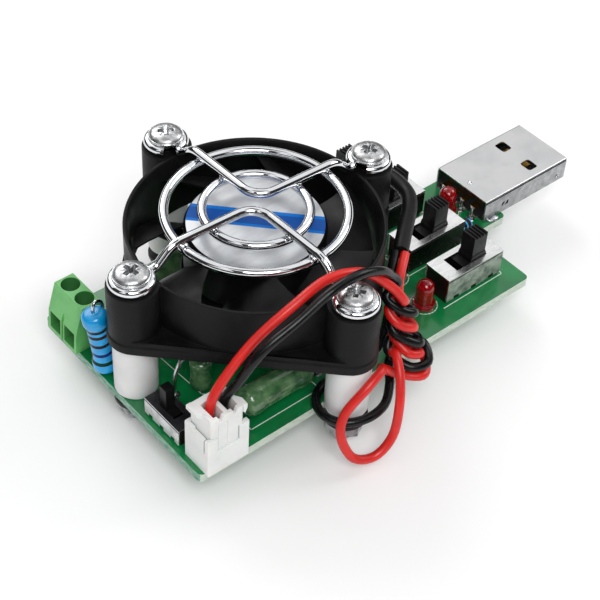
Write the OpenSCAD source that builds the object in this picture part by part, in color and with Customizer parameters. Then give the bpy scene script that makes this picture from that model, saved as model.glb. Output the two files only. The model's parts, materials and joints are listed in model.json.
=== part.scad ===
// USB load tester: a circuit board with a USB plug, four slide switches that
// pick the load current, load resistors, a screw terminal and a 40 mm fan
// that stands on nylon spacers, turned 45 degrees to the board.
// The origin is on the fan's axis, in the plane of the four bolt ends that
// the tester rests on. +X points to the plug, +Z up.

/* [Board] */
// Thickness of the circuit board
board_t = 1.6; // [1:0.1:2]
// Resting plane to the board's underside
board_lift = 5.4; // [4.6:0.1:8]
// Fan axis to the board's left end
board_left = 25.9; // [25.5:0.1:28]
// Fan axis to the end of the board's wide part
board_right = 42.6; // [41.5:0.1:44]
// Width of the board
board_w = 40.6; // [40:0.1:41.5]
// Fan axis to the end of the tongue that carries the plug
tongue_end = 50.6; // [49:0.1:54]
// Width of the tongue
tongue_w = 14; // [13.4:0.1:18]
// Corner radius of the board
board_corner_r = 0.9; // [0.6:0.1:2.2]
// Play between a lead and its hole in the board
drill_gap = 0.1; // [0.05:0.05:0.2]
// Length of a lead below the board
lead_tail = 1.2; // [0.8:0.1:2]

/* [Fan] */
// Side of the fan's square flange
fan_w = 40; // [40:0.1:42]
// Height of the fan
fan_h = 10.7; // [9.5:0.1:12]
// Pitch of the fan's screw holes
fan_pitch = 32; // [31.5:0.1:33]
// Thickness of the flange
flange_t = 2.5; // [1.5:0.1:3.5]
// Radius of a corner post
post_r = 4; // [3.6:0.1:4.2]
// Outer radius of the duct
duct_r = 20; // [19.6:0.1:20.4]
// Wall of the duct
duct_wall = 1.1; // [0.8:0.1:1.4]
// Flare of the duct's mouth
mouth_flare = 0.6; // [0.3:0.1:0.8]
// Width of the web from a post to the duct
web_w = 5.4; // [4:0.1:6.5]
// Radius of the motor's base plate
motor_plate_r = 11.4; // [10.5:0.1:12.5]
// Thickness of the base plate and its struts
motor_plate_t = 1.6; // [1.4:0.1:1.8]
// Width of a strut
strut_w = 2.2; // [1.5:0.1:3]

/* [Rotor] */
// Radius of the hub
hub_r = 10.9; // [10.2:0.1:11.6]
// Wall of the hub cup
hub_wall = 0.9; // [0.7:0.1:1.1]
// Gap between the base plate and the hub's rim
hub_lift = 0.7; // [0.5:0.1:1]
// Drop from the fan's top to the hub's top
hub_drop = 0.5; // [0.2:0.1:1]
// Number of blades
blade_n = 7; // [5:1:9]
// Gap between a blade's tip and the duct
tip_gap = 0.6; // [0.4:0.1:1]
// Thickness of a blade
blade_t = 0.8; // [0.6:0.1:1.2]
// Angle that a blade covers, seen from above
blade_sweep = 40; // [30:1:44]
// Radius of the fan's shaft
shaft_r = 1; // [0.75:0.05:1.25]
// Running gap between shaft and bearing
shaft_gap = 0.03; // [0.02:0.01:0.08]
// Outer radius of the bearing
bearing_r = 2.5; // [2:0.1:3]
// Glue between the hub cup and the magnet
glue_gap = 0.05; // [0.04:0.01:0.1]
// Wall of the rotor's magnet ring
magnet_wall = 1; // [0.7:0.1:1.2]
// Gap between magnet and stator
air_gap = 0.4; // [0.3:0.1:0.6]

/* [Finger guard] */
// Radius of the guard's wire
guard_wire_r = 0.75; // [0.6:0.05:0.9]
// Radius of the outer ring
guard_outer_r = 13.8; // [13:0.05:14.5]
// Radius of the inner ring
guard_inner_r = 8.1; // [7.5:0.1:9]
// Height of the crossing wires above the fan
guard_rise = 3.5; // [3:0.1:6]
// Radius of an eye round a screw
guard_eye_r = 2.85; // [2.6:0.05:3]
// Distance from the fan's axis where a leg starts to drop
guard_leg_r = 15.4; // [14.4:0.1:15.6]
// Bend radius at the tip of a crossing wire
guard_tip_r = 3.5; // [2.5:0.1:5]

/* [Fasteners] */
// Radius of a screw's shank
screw_r = 1.5; // [1.2:0.05:1.6]
// Radius of a screw's head
screw_head_r = 2.9; // [2.7:0.05:3.1]
// Height of a screw's head
screw_head_h = 1.3; // [1.2:0.1:2.2]
// Play of a screw in its holes
screw_gap = 0.1; // [0.05:0.05:0.3]
// Radius of a spacer
spacer_r = 3.4; // [3:0.1:3.6]
// Length of a spacer
spacer_h = 10.5; // [9:0.1:12]
// Radius of a washer
washer_r = 3.5; // [3.2:0.1:3.8]
// Thickness of a washer
washer_t = 0.8; // [0.5:0.1:1]
// Nut size across its flats
nut_af = 5.5; // [5:0.1:6]
// Height of a nut
nut_h = 2.4; // [2:0.1:2.6]

/* [USB plug] */
// Width of the plug's shell
usb_w = 12; // [11.8:0.1:12.2]
// Height of the plug's shell
usb_h = 4.5; // [4.4:0.1:4.6]
// Length of the plug's shell
usb_l = 20.2; // [18:0.1:22]
// Fan axis to the open rear of the shell
usb_rear = 46.1; // [45:0.1:46.6]
// Sheet thickness of the shell
usb_sheet = 0.3; // [0.25:0.05:0.35]
// Corner radius of the shell
usb_corner_r = 0.7; // [0.5:0.1:0.9]
// Thickness of the contact tongue
usb_tongue_t = 1.85; // [1.7:0.05:1.95]
// Distance from the front to the latch windows' middle
usb_window_x = 6.9; // [6:0.1:8]
// Distance between the latch windows' middles
usb_window_pitch = 6.3; // [5:0.1:7]

/* [Current switches] */
// Distance of the switches' middle from the fan axis
switch_x = 33.1; // [32.9:0.1:34]
// Distance of the inner pair from the board's middle line
switch_inner_y = 4.9; // [4:0.1:5.5]
// Distance of the outer pair from the board's middle line
switch_outer_y = 13.9; // [13:0.1:14.5]
// Length of a switch
switch_l = 12.4; // [12:0.1:12.6]
// Width of a switch
switch_w = 5.4; // [5:0.1:5.8]
// Height of a switch's shell above the board
switch_h = 5.3; // [5:0.1:6]
// Sheet thickness of the shells
switch_sheet = 0.3; // [0.2:0.05:0.4]
// Travel of a slider
switch_travel = 3; // [2:0.1:3.4]
// Length of the knob's foot along the travel
knob_foot_l = 3.5; // [3.2:0.1:4]
// Length of the knob along the travel
knob_l = 3; // [2.4:0.1:3.2]
// Width of the knob
knob_w = 2.8; // [2.4:0.1:3]
// Height of the knob above the shell
knob_h = 4.8; // [3.5:0.1:6]
// Running play of a slider
slide_gap = 0.1; // [0.05:0.05:0.15]

/* [Fan switch] */
// Distance of the fan switch's middle from the fan axis
fan_switch_x = 23.2; // [23:0.1:23.4]
// Gap between the fan switch and the socket
fan_switch_gap = 1.4; // [1.2:0.1:1.6]
// Length of the fan switch
fan_switch_l = 8.5; // [8:0.1:8.8]
// Width of the fan switch
fan_switch_w = 3.8; // [3.6:0.1:4]
// Height of the fan switch's shell
fan_switch_h = 3.5; // [3.2:0.1:4]
// Travel of the fan switch's slider
fan_switch_travel = 2; // [1.5:0.1:2.2]
// Side of the fan switch's knob
fan_knob_w = 1.6; // [1.3:0.1:1.8]
// Height of the fan switch's knob
fan_knob_h = 4; // [3:0.1:5]

/* [Lamps] */
// Radius of a lamp's dome
lamp_r = 1.5; // [1.4:0.05:1.6]
// Radius of a lamp's flange
lamp_flange_r = 1.9; // [1.7:0.05:2]
// Height of a lamp
lamp_h = 5.3; // [4.5:0.1:6]

/* [Terminal block] */
// Distance from the fan axis to the block's front
terminal_front = 26.6; // [26:0.1:27.5]
// Depth of the block
terminal_depth = 6.4; // [6:0.1:7]
// Height of the block
terminal_h = 8.8; // [8.4:0.1:9.4]
// Pitch of its two poles
terminal_pitch = 3.81; // [3.7:0.01:4]
// Distance of its middle from the board's middle line
terminal_y = 14.4; // [14:0.1:15]
// Radius of a screw well
terminal_well_r = 1.5; // [1.35:0.05:1.55]
// Width of a wire entry
terminal_entry_w = 2.7; // [2.4:0.1:2.8]
// Height of a wire entry
terminal_entry_h = 3.2; // [2.9:0.1:3.4]
// Rise of a clamp from open to shut
clamp_travel = 1; // [0.6:0.1:1.1]

/* [Fan connector] */
// Distance from the fan axis to the socket's left side
socket_left = 25.1; // [24.9:0.1:25.4]
// Length of the socket
socket_l = 7.5; // [7.3:0.1:7.8]
// Depth of the socket
socket_w = 5.75; // [5.6:0.05:5.9]
// Height of the socket
socket_h = 7; // [6.5:0.1:7.5]
// Overhang of the socket past the board's edge
socket_overhang = 0.9; // [0:0.1:1.3]
// Wall of the socket
socket_wall = 0.75; // [0.6:0.05:0.8]
// Pitch of the two contacts
socket_pitch = 2.5; // [2.4:0.01:2.54]
// Rise of the plug housing above the socket
plug_rise = 4.2; // [3:0.1:4.5]
// Width of the plug's head
plug_head_w = 5.8; // [5.4:0.1:6.2]
// Depth of the plug's head
plug_head_l = 5; // [4.4:0.1:5.2]
// Reach of the wing at each end of the head
plug_wing = 0.6; // [0.4:0.1:0.8]
// Thickness of a wing
plug_wing_t = 1.2; // [0.9:0.1:1.5]
// Height of the slope under a wing
plug_wing_slope = 0.7; // [0.5:0.1:1]

/* [Resistors] */
// Radius of a load resistor
load_r = 2.5; // [2.2:0.1:2.8]
// Length of a load resistor
load_l = 12.6; // [11:0.1:13.5]
// Distance of the two outer load resistors from the middle line
load_y = 15.1; // [14.6:0.1:15.6]
// Radius of the small standing load resistor
small_load_r = 1.7; // [1.5:0.1:1.9]
// Length of the small standing load resistor
small_load_l = 6; // [5:0.1:7]
// Radius of the sense resistor's end caps
sense_r = 1.9; // [1.7:0.1:2.1]
// Length of the sense resistor
sense_l = 12; // [10:0.1:12.4]
// Radius of a resistor's lead
lead_r = 0.35; // [0.3:0.05:0.45]

/* [Hidden] */
$fn = 48;

board_top = board_lift + board_t;
board_half = board_w / 2;
fan_base = board_top + spacer_h;
fan_top = fan_base + fan_h;
bolt_r = fan_pitch / sqrt(2);
duct_bore = duct_r - duct_wall;
sheet_fold = 0.4;
eps = 0.02;

// Bolts: right, far, left, near.
bolt_spots = [[bolt_r, 0], [0, bolt_r], [-bolt_r, 0], [0, -bolt_r]];
// Current switches, from the near edge to the far edge, and the side at rest.
switch_spots = [[switch_x, -switch_outer_y, 1], [switch_x, -switch_inner_y, 1],
                [switch_x, switch_inner_y, 1], [switch_x, switch_outer_y, -1]];
switch_pin_pitch = 4;
switch_pin_r = 0.4;
fan_switch_pitch = 2.5;
fan_switch_pin_r = 0.3;
lamp_spots = [[24.1, -14.2], [24.7, -6.7], [24.7, 6.7], [24.1, 14.2], [43, 0.2]];
lamp_lead_pitch = 2.54;
lamp_lead_r = 0.25;
// Socket, plug and their contacts
socket_x = -socket_left + socket_l / 2;
socket_near = -board_half - socket_overhang;
socket_y = socket_near + socket_w / 2;
socket_pin_r = 0.32;
socket_spots = [for (s = [-1, 1]) [socket_x + s * socket_pitch / 2, socket_y + 0.3]];
plug_top = board_top + socket_h + plug_rise;
fan_switch_y = -(socket_near + socket_w + fan_switch_gap + fan_switch_l / 2);
// Terminal block
terminal_back = terminal_depth - terminal_front;
terminal_len = 2 * terminal_pitch;
terminal_slope_h = 4;
terminal_slope_x = 1.8;
terminal_pin_r = 0.45;
terminal_mid_x = -terminal_front + 3.5;
terminal_poles = [for (s = [1, -1]) terminal_y + s * terminal_pitch / 2];
terminal_pin_x = terminal_back - 1.1;
clamp_l = 2.7;
clamp_w = 2.3;
clamp_h = 3.1;
clamp_low = board_top + 0.35;
clamp_floor = 0.5;
clamp_opening = 1.6;
clamp_bar_t = 0.4;
clamp_screw_r = 0.8;
clamp_head_h = 1;
clamp_bar_z = clamp_low + clamp_floor + clamp_travel + 0.05;
// Leads of the resistors: the two feet of each
load_foot = load_l / 2 + 2.2;
load_spots = [[-7.9, -load_y], [-7.9, load_y], [1, 0]];
small_load_at = [-15.4, -6.6];
small_load_foot = [-19.4, -5.4];
sense_at = [-24.6, 5.2];
sense_foot = [-22.3, 5];
sense_lean = [-3, -6, 0];
lamp_resistor_at = [41.7, -5.2];
lamp_resistor_r = 0.95;
lamp_resistor_l = 3.4;
lamp_resistor_lead_r = 0.25;
lamp_resistor_feet = [[39.7, -8.6], [44.6, -4]];

// Inside of the plug
usb_front = usb_rear + usb_l;
usb_contact_y = [-3.5, -1, 1, 3.5];
usb_contact_w = 1.1;
usb_contact_t = 0.25;
usb_contact_l = 7.4;
usb_contact_z = board_top + usb_sheet + usb_tongue_t;
usb_block_x = usb_rear + 0.8;
usb_cavity = 11.8;
usb_tail_x = usb_rear - 0.6;
usb_tail_r = 0.3;
usb_leg_x = usb_rear + 2.1;
usb_leg_w = 1.8;
usb_slot_x = usb_rear + 4.9;
usb_slot_w = 1.3;

// Every lead that passes through the board: x, y and radius
through_leads = concat(
    [for (s = switch_spots, k = [-1:1]) [s[0] + k * switch_pin_pitch, s[1], switch_pin_r]],
    [for (k = [-1:1]) [-fan_switch_x, -fan_switch_y + k * fan_switch_pitch, fan_switch_pin_r]],
    [for (s = lamp_spots, k = [-1, 1]) [s[0], s[1] + k * lamp_lead_pitch / 2, lamp_lead_r]],
    [for (s = socket_spots) [s[0], s[1], socket_pin_r]],
    [for (y = terminal_poles) [terminal_pin_x, y, terminal_pin_r]],
    [for (y = usb_contact_y) [usb_tail_x, y, usb_tail_r]],
    [for (s = lamp_resistor_feet) [s[0], s[1], lamp_resistor_lead_r]],
    [for (s = load_spots, k = [-1, 1]) [s[0] + k * load_foot, s[1], lead_r]],
    [[small_load_at[0], small_load_at[1], lead_r], [small_load_foot[0], small_load_foot[1], lead_r]],
    [[sense_at[0], sense_at[1], lead_r], [sense_foot[0], sense_foot[1], lead_r]]);

solder_h = 0.9;
solder_foot = 0.6;
lead_low = board_lift - lead_tail;
pin_depth = 0.8;
plug_bore = 0.9;
socket_floor = 1.1;
wire_start_z = board_top + 5.8;
clamp_bar_w = 1.5;
clamp_head_z = clamp_low + clamp_h + clamp_travel + 0.3;
load_z = board_top + load_r + 0.3;
sense_lift = 0.5;
sense_top = [sense_at[0] + sense_l * sin(sense_lean[1]),
             sense_at[1] - sense_l * sin(sense_lean[0]) * cos(sense_lean[1]),
             board_top + sense_lift + sense_l * cos(sense_lean[0]) * cos(sense_lean[1])];
// Inside of the switches: block and slider plate
switch_body = [switch_l - 0.4, switch_w - 2 * switch_sheet, switch_h - switch_sheet];
switch_plate = [6.4, 3.8, 1.6];
fan_switch_body = [fan_switch_l - 0.3, fan_switch_w - 2 * switch_sheet, fan_switch_h - switch_sheet];
fan_switch_plate = [4.4, 2.2, 1];

// Inside of the fan
head_z = fan_top + 2 * guard_wire_r;
hub_low = fan_base + motor_plate_t + hub_lift;
hub_high = fan_top - hub_drop;
hub_top_t = 1;
bearing_top = hub_high - 2.3;
blade_tip_r = duct_bore - tip_gap;
blade_low = fan_base + motor_plate_t + 0.5;
blade_high = fan_top - 1;
blade_n_out = 4;
blade_n_along = 6;
stator_r = hub_r - hub_wall - magnet_wall - air_gap;
stator_low = hub_low + 0.6;
stator_h = 3.8;
strut_turn = 21;
sleeve_r = 1.25;
wire_r = 0.7;
motor_lead_r = 0.5;
lead_z = fan_base + 0.6;
lead_rise_r = 6.5;
channel_w = 2.4;
channel_h = 1.25;
notch_r = duct_bore - 0.5;
sleeve_in_r = duct_bore + 0.7;
guard_z = fan_top + guard_rise;
guard_low = fan_top + guard_wire_r;
guard_corner = 0.53;
guard_toe = 2.2;

// Wires: each leaves the plug, passes over the frame beside the near bolt and
// hangs there in loops before both go into the sleeve
red_route = concat(
    [for (z = [wire_start_z, plug_top + 0.6]) [socket_spots[0][0], socket_spots[0][1], z]],
    [[-21.3, -17.7, 21.6], [-14.8, -17.7, 26.6], [-8.2, -18.9, 29.8], [-2, -18.8, 31.5],
     [3.8, -19.9, 30.2], [7.4, -22, 27], [9.5, -23.9, 24], [10.2, -21.2, 22.6], [8, -21.6, 21.4],
     [8.3, -23.8, 20], [10.7, -24.6, 18.4], [11.6, -22.5, 17.4], [9, -22.1, 16.4],
     [9.2, -25.4, 14.7], [11.4, -26, 13.5], [12, -23.9, 12.6], [9.7, -22.9, 13.5],
     [7.4, -24.2, 15.4], [6.8, -25.4, 15.6], [5.6, -27.8, 13.8], [4.2, -29.7, 10], [2.6, -30.7, 5],
     [-0.6, -30.4, 2.4], [-4, -29.2, 3.4], [-5.2, -27.4, 7.4], [-3.9, -26.5, 10.8],
     [-0.6, -27.1, 14.6], [3, -26.4, 15.6], [5.2, -24.4, 13], [8, -25.6, 10.8],
     [11.2, -27.8, 10.8], [14.4, -26.6, 11.2], [15, -22.8, 13], [13.4, -19.9, 16.2],
     [13.1, -18.4, 21.2], [17.1, -15.2, 23]]);
black_route = concat(
    [for (z = [wire_start_z, plug_top + 0.6]) [socket_spots[1][0], socket_spots[1][1], z]],
    [[-19, -18.6, 21.2], [-14.6, -20.2, 26.2], [-9, -20.7, 28.8], [-3.6, -21.2, 31.7],
     [1.4, -21.4, 32.4], [6.2, -21.3, 30.3], [8.8, -21, 27.5], [10.6, -21.4, 25.6], [7.8, -21.3, 24],
     [8.8, -23.6, 22.4], [10.8, -24.2, 21.2], [11.4, -22.2, 20.2], [8.9, -21.6, 19.2],
     [8.3, -23.5, 17.6], [11.1, -25.7, 15.6], [12.4, -23.8, 14.9], [10.2, -21.6, 15.2],
     [8.2, -22.3, 13.3], [9.2, -26.2, 12.2], [12.2, -27.3, 12.6], [13.6, -25, 13.8],
     [12.6, -22.4, 12], [9, -22.2, 11], [6.6, -25, 9.2], [3.8, -27, 8], [0, -27.3, 7.8],
     [-3.4, -25.7, 7.8], [-4.7, -22.6, 7.8], [-3.4, -19.5, 7.8], [0, -18, 7.8], [4, -19, 8.2],
     [8.6, -19.8, 11.4], [11.6, -18.4, 16.4], [12.6, -16.9, 20.8], [16.2, -14, 23]]);
sleeve_route = [[16.7, -14.6, 23], [20.8, -11.2, 23], [24.6, -8.1, 23], [27.4, -5.4, 23], [29.1, -1.6, 23],
    [29, 1.8, 22.6], [27.4, 5, 21.8], [25, 7.6, 20.4], [22.4, 8.6, 19.2], [18.3, 7.02, 18.8]];

// A flat rectangle with round corners
module round_rect(size, r) {
    square([size[0] - 2 * r, size[1]], center = true);
    square([size[0], size[1] - 2 * r], center = true);
    for (x = [-1, 1], y = [-1, 1])
        translate([x * (size[0] / 2 - r), y * (size[1] / 2 - r)]) circle(r);
}

module ring(outer, inner, h) {
    difference() {
        cylinder(r = outer, h = h);
        translate([0, 0, -1]) cylinder(r = inner, h = h + 2);
    }
}

// A box from its middle in x and y, standing on z
module block(x, y, z, size) {
    translate([x - size[0] / 2, y - size[1] / 2, z]) cube(size);
}

// A round rod between two points
module rod(a, b, r) {
    d = b - a;
    translate(a)
        rotate([0, acos(d[2] / norm(d)), atan2(d[1], d[0])])
            cylinder(r = r, h = norm(d));
}

// Round wire through a list of points, with a slightly fuller ball at every bend
module wire(points, r) {
    for (i = [0:len(points) - 2]) rod(points[i], points[i + 1], r);
    for (i = [1:1:len(points) - 2]) translate(points[i]) sphere(r + 0.02);
}

module on_bolts(z) {
    for (s = bolt_spots) translate([s[0], s[1], z]) children();
}

// BOARD

module board_outline() {
    wide = board_left + board_right;
    translate([(board_right - board_left) / 2, 0]) round_rect([wide, board_w], board_corner_r);
    tongue = tongue_end - board_right + 10;
    translate([tongue_end - tongue / 2, 0]) round_rect([tongue, tongue_w], board_corner_r);
}

module circuit_board() color("#0e7a3c")
difference() {
    translate([0, 0, board_lift]) linear_extrude(board_t) board_outline();
    for (p = through_leads)
        translate([p[0], p[1], board_lift - 1]) cylinder(r = p[2] + drill_gap, h = board_t + 2, $fn = 24);
    on_bolts(board_lift - 1) cylinder(r = screw_r + screw_gap, h = board_t + 2);
    for (s = [-1, 1])
        block(usb_leg_x, s * (usb_w - usb_sheet) / 2, board_lift - 1,
              [usb_leg_w + 2 * drill_gap, usb_sheet + 2 * drill_gap, board_t + 2]);
}

// A cone of solder round every lead under the board
module solder_joints() color("#c9ccd0")
for (p = through_leads)
    translate([p[0], p[1], board_lift - solder_h])
        difference() {
            cylinder(r1 = p[2] + 0.15, r2 = p[2] + solder_foot, h = solder_h, $fn = 24);
            translate([0, 0, -1]) cylinder(r = p[2], h = solder_h + 2, $fn = 24);
        }

// A lead's straight end: through the board from a height above it
module lead_end(at, r, z) {
    translate([at[0], at[1], board_lift - lead_tail])
        cylinder(r = r, h = z - board_lift + lead_tail, $fn = 24);
}

// USB PLUG

module usb_profile(inset) {
    round_rect([usb_w - 2 * inset, usb_h - 2 * inset], max(usb_corner_r - inset, 0.2));
}

module along_plug(x, l) {
    translate([x, 0, board_top + usb_h / 2]) rotate([90, 0, 90]) linear_extrude(l) children();
}

module usb_shell() color("#c8cbd0") {
    window = [2.1, 2.4];
    difference() {
        along_plug(usb_rear, usb_l) usb_profile(0);
        along_plug(usb_rear - 1, usb_l + 2) usb_profile(usb_sheet);
        for (s = [-1, 1])
            block(usb_front - usb_window_x, s * usb_window_pitch / 2, board_top - 1,
                  [window[0], window[1], usb_h + 2]);
        block(usb_slot_x, 0, board_top + 1.6, [usb_slot_w, usb_w + 1, 0.7]);
    }
    for (s = [-1, 1]) {
        // Solder legs through the board
        block(usb_leg_x, s * (usb_w - usb_sheet) / 2, board_lift - 0.6, [usb_leg_w, usb_sheet, board_t + 1.6]);
        // Latch springs that hang from the windows' rear edges
        translate([usb_front - usb_window_x - window[0] / 2 - usb_sheet,
                   s * usb_window_pitch / 2 - 0.6, board_top + usb_h - usb_sheet - 0.5])
            cube([usb_sheet, 1.2, 0.6]);
    }
}

module usb_insulator() color("#202124")
difference() {
    union() {
        along_plug(usb_block_x, usb_l - usb_cavity - 0.8) usb_profile(usb_sheet);
        block((usb_block_x + usb_front - 0.6) / 2, 0, board_top + usb_sheet,
              [usb_front - 0.6 - usb_block_x, usb_w - 2 * usb_sheet - 1, usb_tongue_t]);
    }
    for (y = usb_contact_y)
        block(usb_block_x + usb_l / 2 - 1, y, usb_contact_z - 0.05,
              [usb_l, usb_contact_w, usb_contact_t + 0.05]);
}

module usb_contacts() color("#d9a441")
for (y = usb_contact_y) {
    front = usb_front - usb_cavity + usb_contact_l;
    translate([usb_tail_x, y - usb_contact_w / 2, usb_contact_z - 0.05])
        cube([front - usb_tail_x, usb_contact_w, usb_contact_t]);
    lead_end([usb_tail_x, y], usb_tail_r, usb_contact_z + 0.1);
}

// SLIDE SWITCHES: each is built along X round its own middle, on the board

module switch_base(body, plate, travel, pin_pitch, pin_r)
difference() {
    block(0, 0, 0, body);
    block(0, 0, body[2] - plate[2] - 2 * slide_gap,
          [plate[0] + travel + 2 * slide_gap, plate[1] + 2 * slide_gap, plate[2] + 1]);
    for (k = [-1:1]) translate([k * pin_pitch, 0, -1]) cylinder(r = pin_r, h = 1 + pin_depth, $fn = 24);
}

module switch_shell(shell, slot, skirt, notch)
difference() {
    block(0, 0, skirt, [shell[0], shell[1], shell[2] - skirt]);
    block(0, 0, -1, [shell[0] + 2, shell[1] - 2 * switch_sheet, shell[2] - switch_sheet + 1]);
    block(0, 0, shell[2] - 1, [slot[0], slot[1], 2]);
    // Notches in the skirts
    for (k = [-1:1])
        block(k * shell[0] * 0.32, 0, -1, [notch, shell[1] + 2, skirt + 1.6]);
}

module switch_slider(body_h, plate, foot, knob, knob_top) {
    block(0, 0, body_h - plate[2] - slide_gap, plate);
    difference() {
        union() {
            // A foot with a slope on one side, then the knob
            translate([0, foot[1] / 2, body_h - slide_gap - 0.01]) rotate([90, 0, 0])
                linear_extrude(foot[1])
                    polygon([[-foot[0] / 2, 0], [foot[0] / 2, 0], [foot[0] / 2, foot[2] * 0.6],
                             [knob[0] / 2, foot[2]], [-knob[0] / 2, foot[2]],
                             [-foot[0] / 2, foot[2] * 0.6]]);
            block(0, 0, body_h, [knob[0], knob[1], knob_top - body_h]);
        }
        // Grip grooves across the knob's top
        for (k = [-1.5:1:1.5])
            block(k * knob[0] / 4.6, 0, knob_top - 0.35, [knob[0] / 9, knob[1] + 1, 1]);
    }
}

module current_switch_base(i) color("#1d1c1e")
translate([switch_spots[i][0], switch_spots[i][1], board_top])
    switch_base(switch_body, switch_plate, switch_travel, switch_pin_pitch, switch_pin_r);

module current_switch_shell(i) color("#c8cbd0")
translate([switch_spots[i][0], switch_spots[i][1], board_top])
    switch_shell([switch_l, switch_w, switch_h],
                 [knob_foot_l + switch_travel + 2 * slide_gap, knob_w + 0.2 + 2 * slide_gap], 0.5, 1.2);

module current_switch_slider(i) color("#1d1c1e")
translate([switch_spots[i][0] + switch_spots[i][2] * switch_travel / 2, switch_spots[i][1], board_top])
    switch_slider(switch_body[2], switch_plate, [knob_foot_l, knob_w + 0.2, 1.3],
                  [knob_l, knob_w], switch_h + knob_h);

module switch_1_base() current_switch_base(0);
module switch_2_base() current_switch_base(1);
module switch_3_base() current_switch_base(2);
module switch_4_base() current_switch_base(3);
module switch_1_shell() current_switch_shell(0);
module switch_2_shell() current_switch_shell(1);
module switch_3_shell() current_switch_shell(2);
module switch_4_shell() current_switch_shell(3);
module switch_1_slider() current_switch_slider(0);
module switch_2_slider() current_switch_slider(1);
module switch_3_slider() current_switch_slider(2);
module switch_4_slider() current_switch_slider(3);

module at_fan_switch() {
    translate([-fan_switch_x, -fan_switch_y, board_top]) rotate([0, 0, 90]) children();
}

module fan_switch_base() color("#1d1c1e")
at_fan_switch() switch_base(fan_switch_body, fan_switch_plate, fan_switch_travel,
                            fan_switch_pitch, fan_switch_pin_r);

module fan_switch_shell() color("#c8cbd0")
at_fan_switch() switch_shell([fan_switch_l, fan_switch_w, fan_switch_h],
                             [fan_knob_w + fan_switch_travel + 2 * slide_gap, fan_knob_w + 2 * slide_gap],
                             0.3, 0.9);

module fan_switch_slider() color("#1d1c1e")
at_fan_switch() translate([fan_switch_travel / 2, 0, 0]) {
    block(0, 0, fan_switch_body[2] - fan_switch_plate[2] - slide_gap, fan_switch_plate);
    block(0, 0, fan_switch_body[2] - slide_gap - 0.01,
          [fan_knob_w, fan_knob_w, fan_switch_h + fan_knob_h - fan_switch_body[2] + slide_gap]);
}

module switch_pins() color("#c9ccd0") {
    for (s = switch_spots, k = [-1:1])
        lead_end([s[0] + k * switch_pin_pitch, s[1]], switch_pin_r, board_top + pin_depth);
    for (k = [-1:1])
        lead_end([-fan_switch_x, -fan_switch_y + k * fan_switch_pitch], fan_switch_pin_r,
                 board_top + pin_depth);
}

// LAMPS

module lamp(i) color("#c4121c")
translate([lamp_spots[i][0], lamp_spots[i][1], board_top])
    difference() {
        rotate_extrude() lamp_profile();
        for (k = [-1, 1])
            translate([0, k * lamp_lead_pitch / 2, -1]) cylinder(r = lamp_lead_r, h = 1.8, $fn = 24);
        // Flat on the flange
        block(0, lamp_flange_r + 0.8, -1, [6, 2, 1.9]);
    }

module lamp_profile() {
    square([lamp_flange_r, 0.9]);
    square([lamp_r, lamp_h - lamp_r]);
    intersection() {
        translate([0, lamp_h - lamp_r]) circle(lamp_r);
        square([lamp_r, lamp_h]);
    }
}

module lamp_1() lamp(0);
module lamp_2() lamp(1);
module lamp_3() lamp(2);
module lamp_4() lamp(3);
module power_lamp() lamp(4);

// TERMINAL BLOCK

module terminal_housing() color("#5fc46e")
difference() {
    translate([0, terminal_y + terminal_len / 2, board_top]) rotate([90, 0, 0])
        linear_extrude(terminal_len)
            polygon([[-terminal_front, 0], [-terminal_front + 0.3, terminal_slope_h],
                     [-terminal_front + terminal_slope_x, terminal_h],
                     [terminal_back - 1.2, terminal_h], [terminal_back - 0.4, terminal_slope_h + 1],
                     [terminal_back, terminal_slope_h], [terminal_back, 0]]);
    for (y = terminal_poles) {
        // Room for the rising clamp
        block(terminal_mid_x, y, clamp_low - 0.1,
              [clamp_l + 0.2, clamp_w + 0.2, clamp_h + clamp_travel + 0.2]);
        translate([terminal_mid_x, y, clamp_low]) cylinder(r = clamp_screw_r + 0.1, h = 5);
        translate([terminal_mid_x, y, clamp_head_z]) cylinder(r = terminal_well_r, h = terminal_h);
        // Wire entry
        translate([-terminal_front - 1, y - terminal_entry_w / 2, board_top + 0.7])
            cube([terminal_mid_x + terminal_front + 1, terminal_entry_w, terminal_entry_h]);
        // Slot for the solder pin
        translate([terminal_mid_x, y - clamp_bar_w / 2, board_top - 1])
            cube([terminal_pin_x + terminal_pin_r - terminal_mid_x, clamp_bar_w,
                  clamp_bar_z + clamp_bar_t - board_top + 1]);
    }
    // Groove between the poles
    block(-terminal_front, terminal_y, board_top - 1, [1.6, 0.5, terminal_h + 2]);
}

module terminal_screw(y) color("#c9ccd0")
translate([terminal_mid_x, y, 0])
    difference() {
        union() {
            translate([0, 0, clamp_bar_z + clamp_bar_t + 0.1])
                cylinder(r = clamp_screw_r, h = clamp_head_z - clamp_bar_z - clamp_bar_t);
            translate([0, 0, clamp_head_z + 0.05])
                cylinder(r = terminal_well_r - 0.12, h = clamp_head_h);
        }
        rotate([0, 0, 35]) block(0, 0, clamp_head_z + clamp_head_h - 0.5, [4, 0.5, 1]);
    }

module terminal_clamp(y) color("#c9ccd0")
difference() {
    block(terminal_mid_x, y, clamp_low, [clamp_l, clamp_w, clamp_h]);
    block(terminal_mid_x, y, clamp_low + clamp_floor, [clamp_l + 1, clamp_bar_w + 0.1, clamp_opening]);
    translate([terminal_mid_x, y, clamp_low + 1]) cylinder(r = clamp_screw_r + 0.05, h = clamp_h);
}

module terminal_screw_1() terminal_screw(terminal_poles[0]);
module terminal_screw_2() terminal_screw(terminal_poles[1]);
module terminal_clamp_1() terminal_clamp(terminal_poles[0]);
module terminal_clamp_2() terminal_clamp(terminal_poles[1]);

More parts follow.
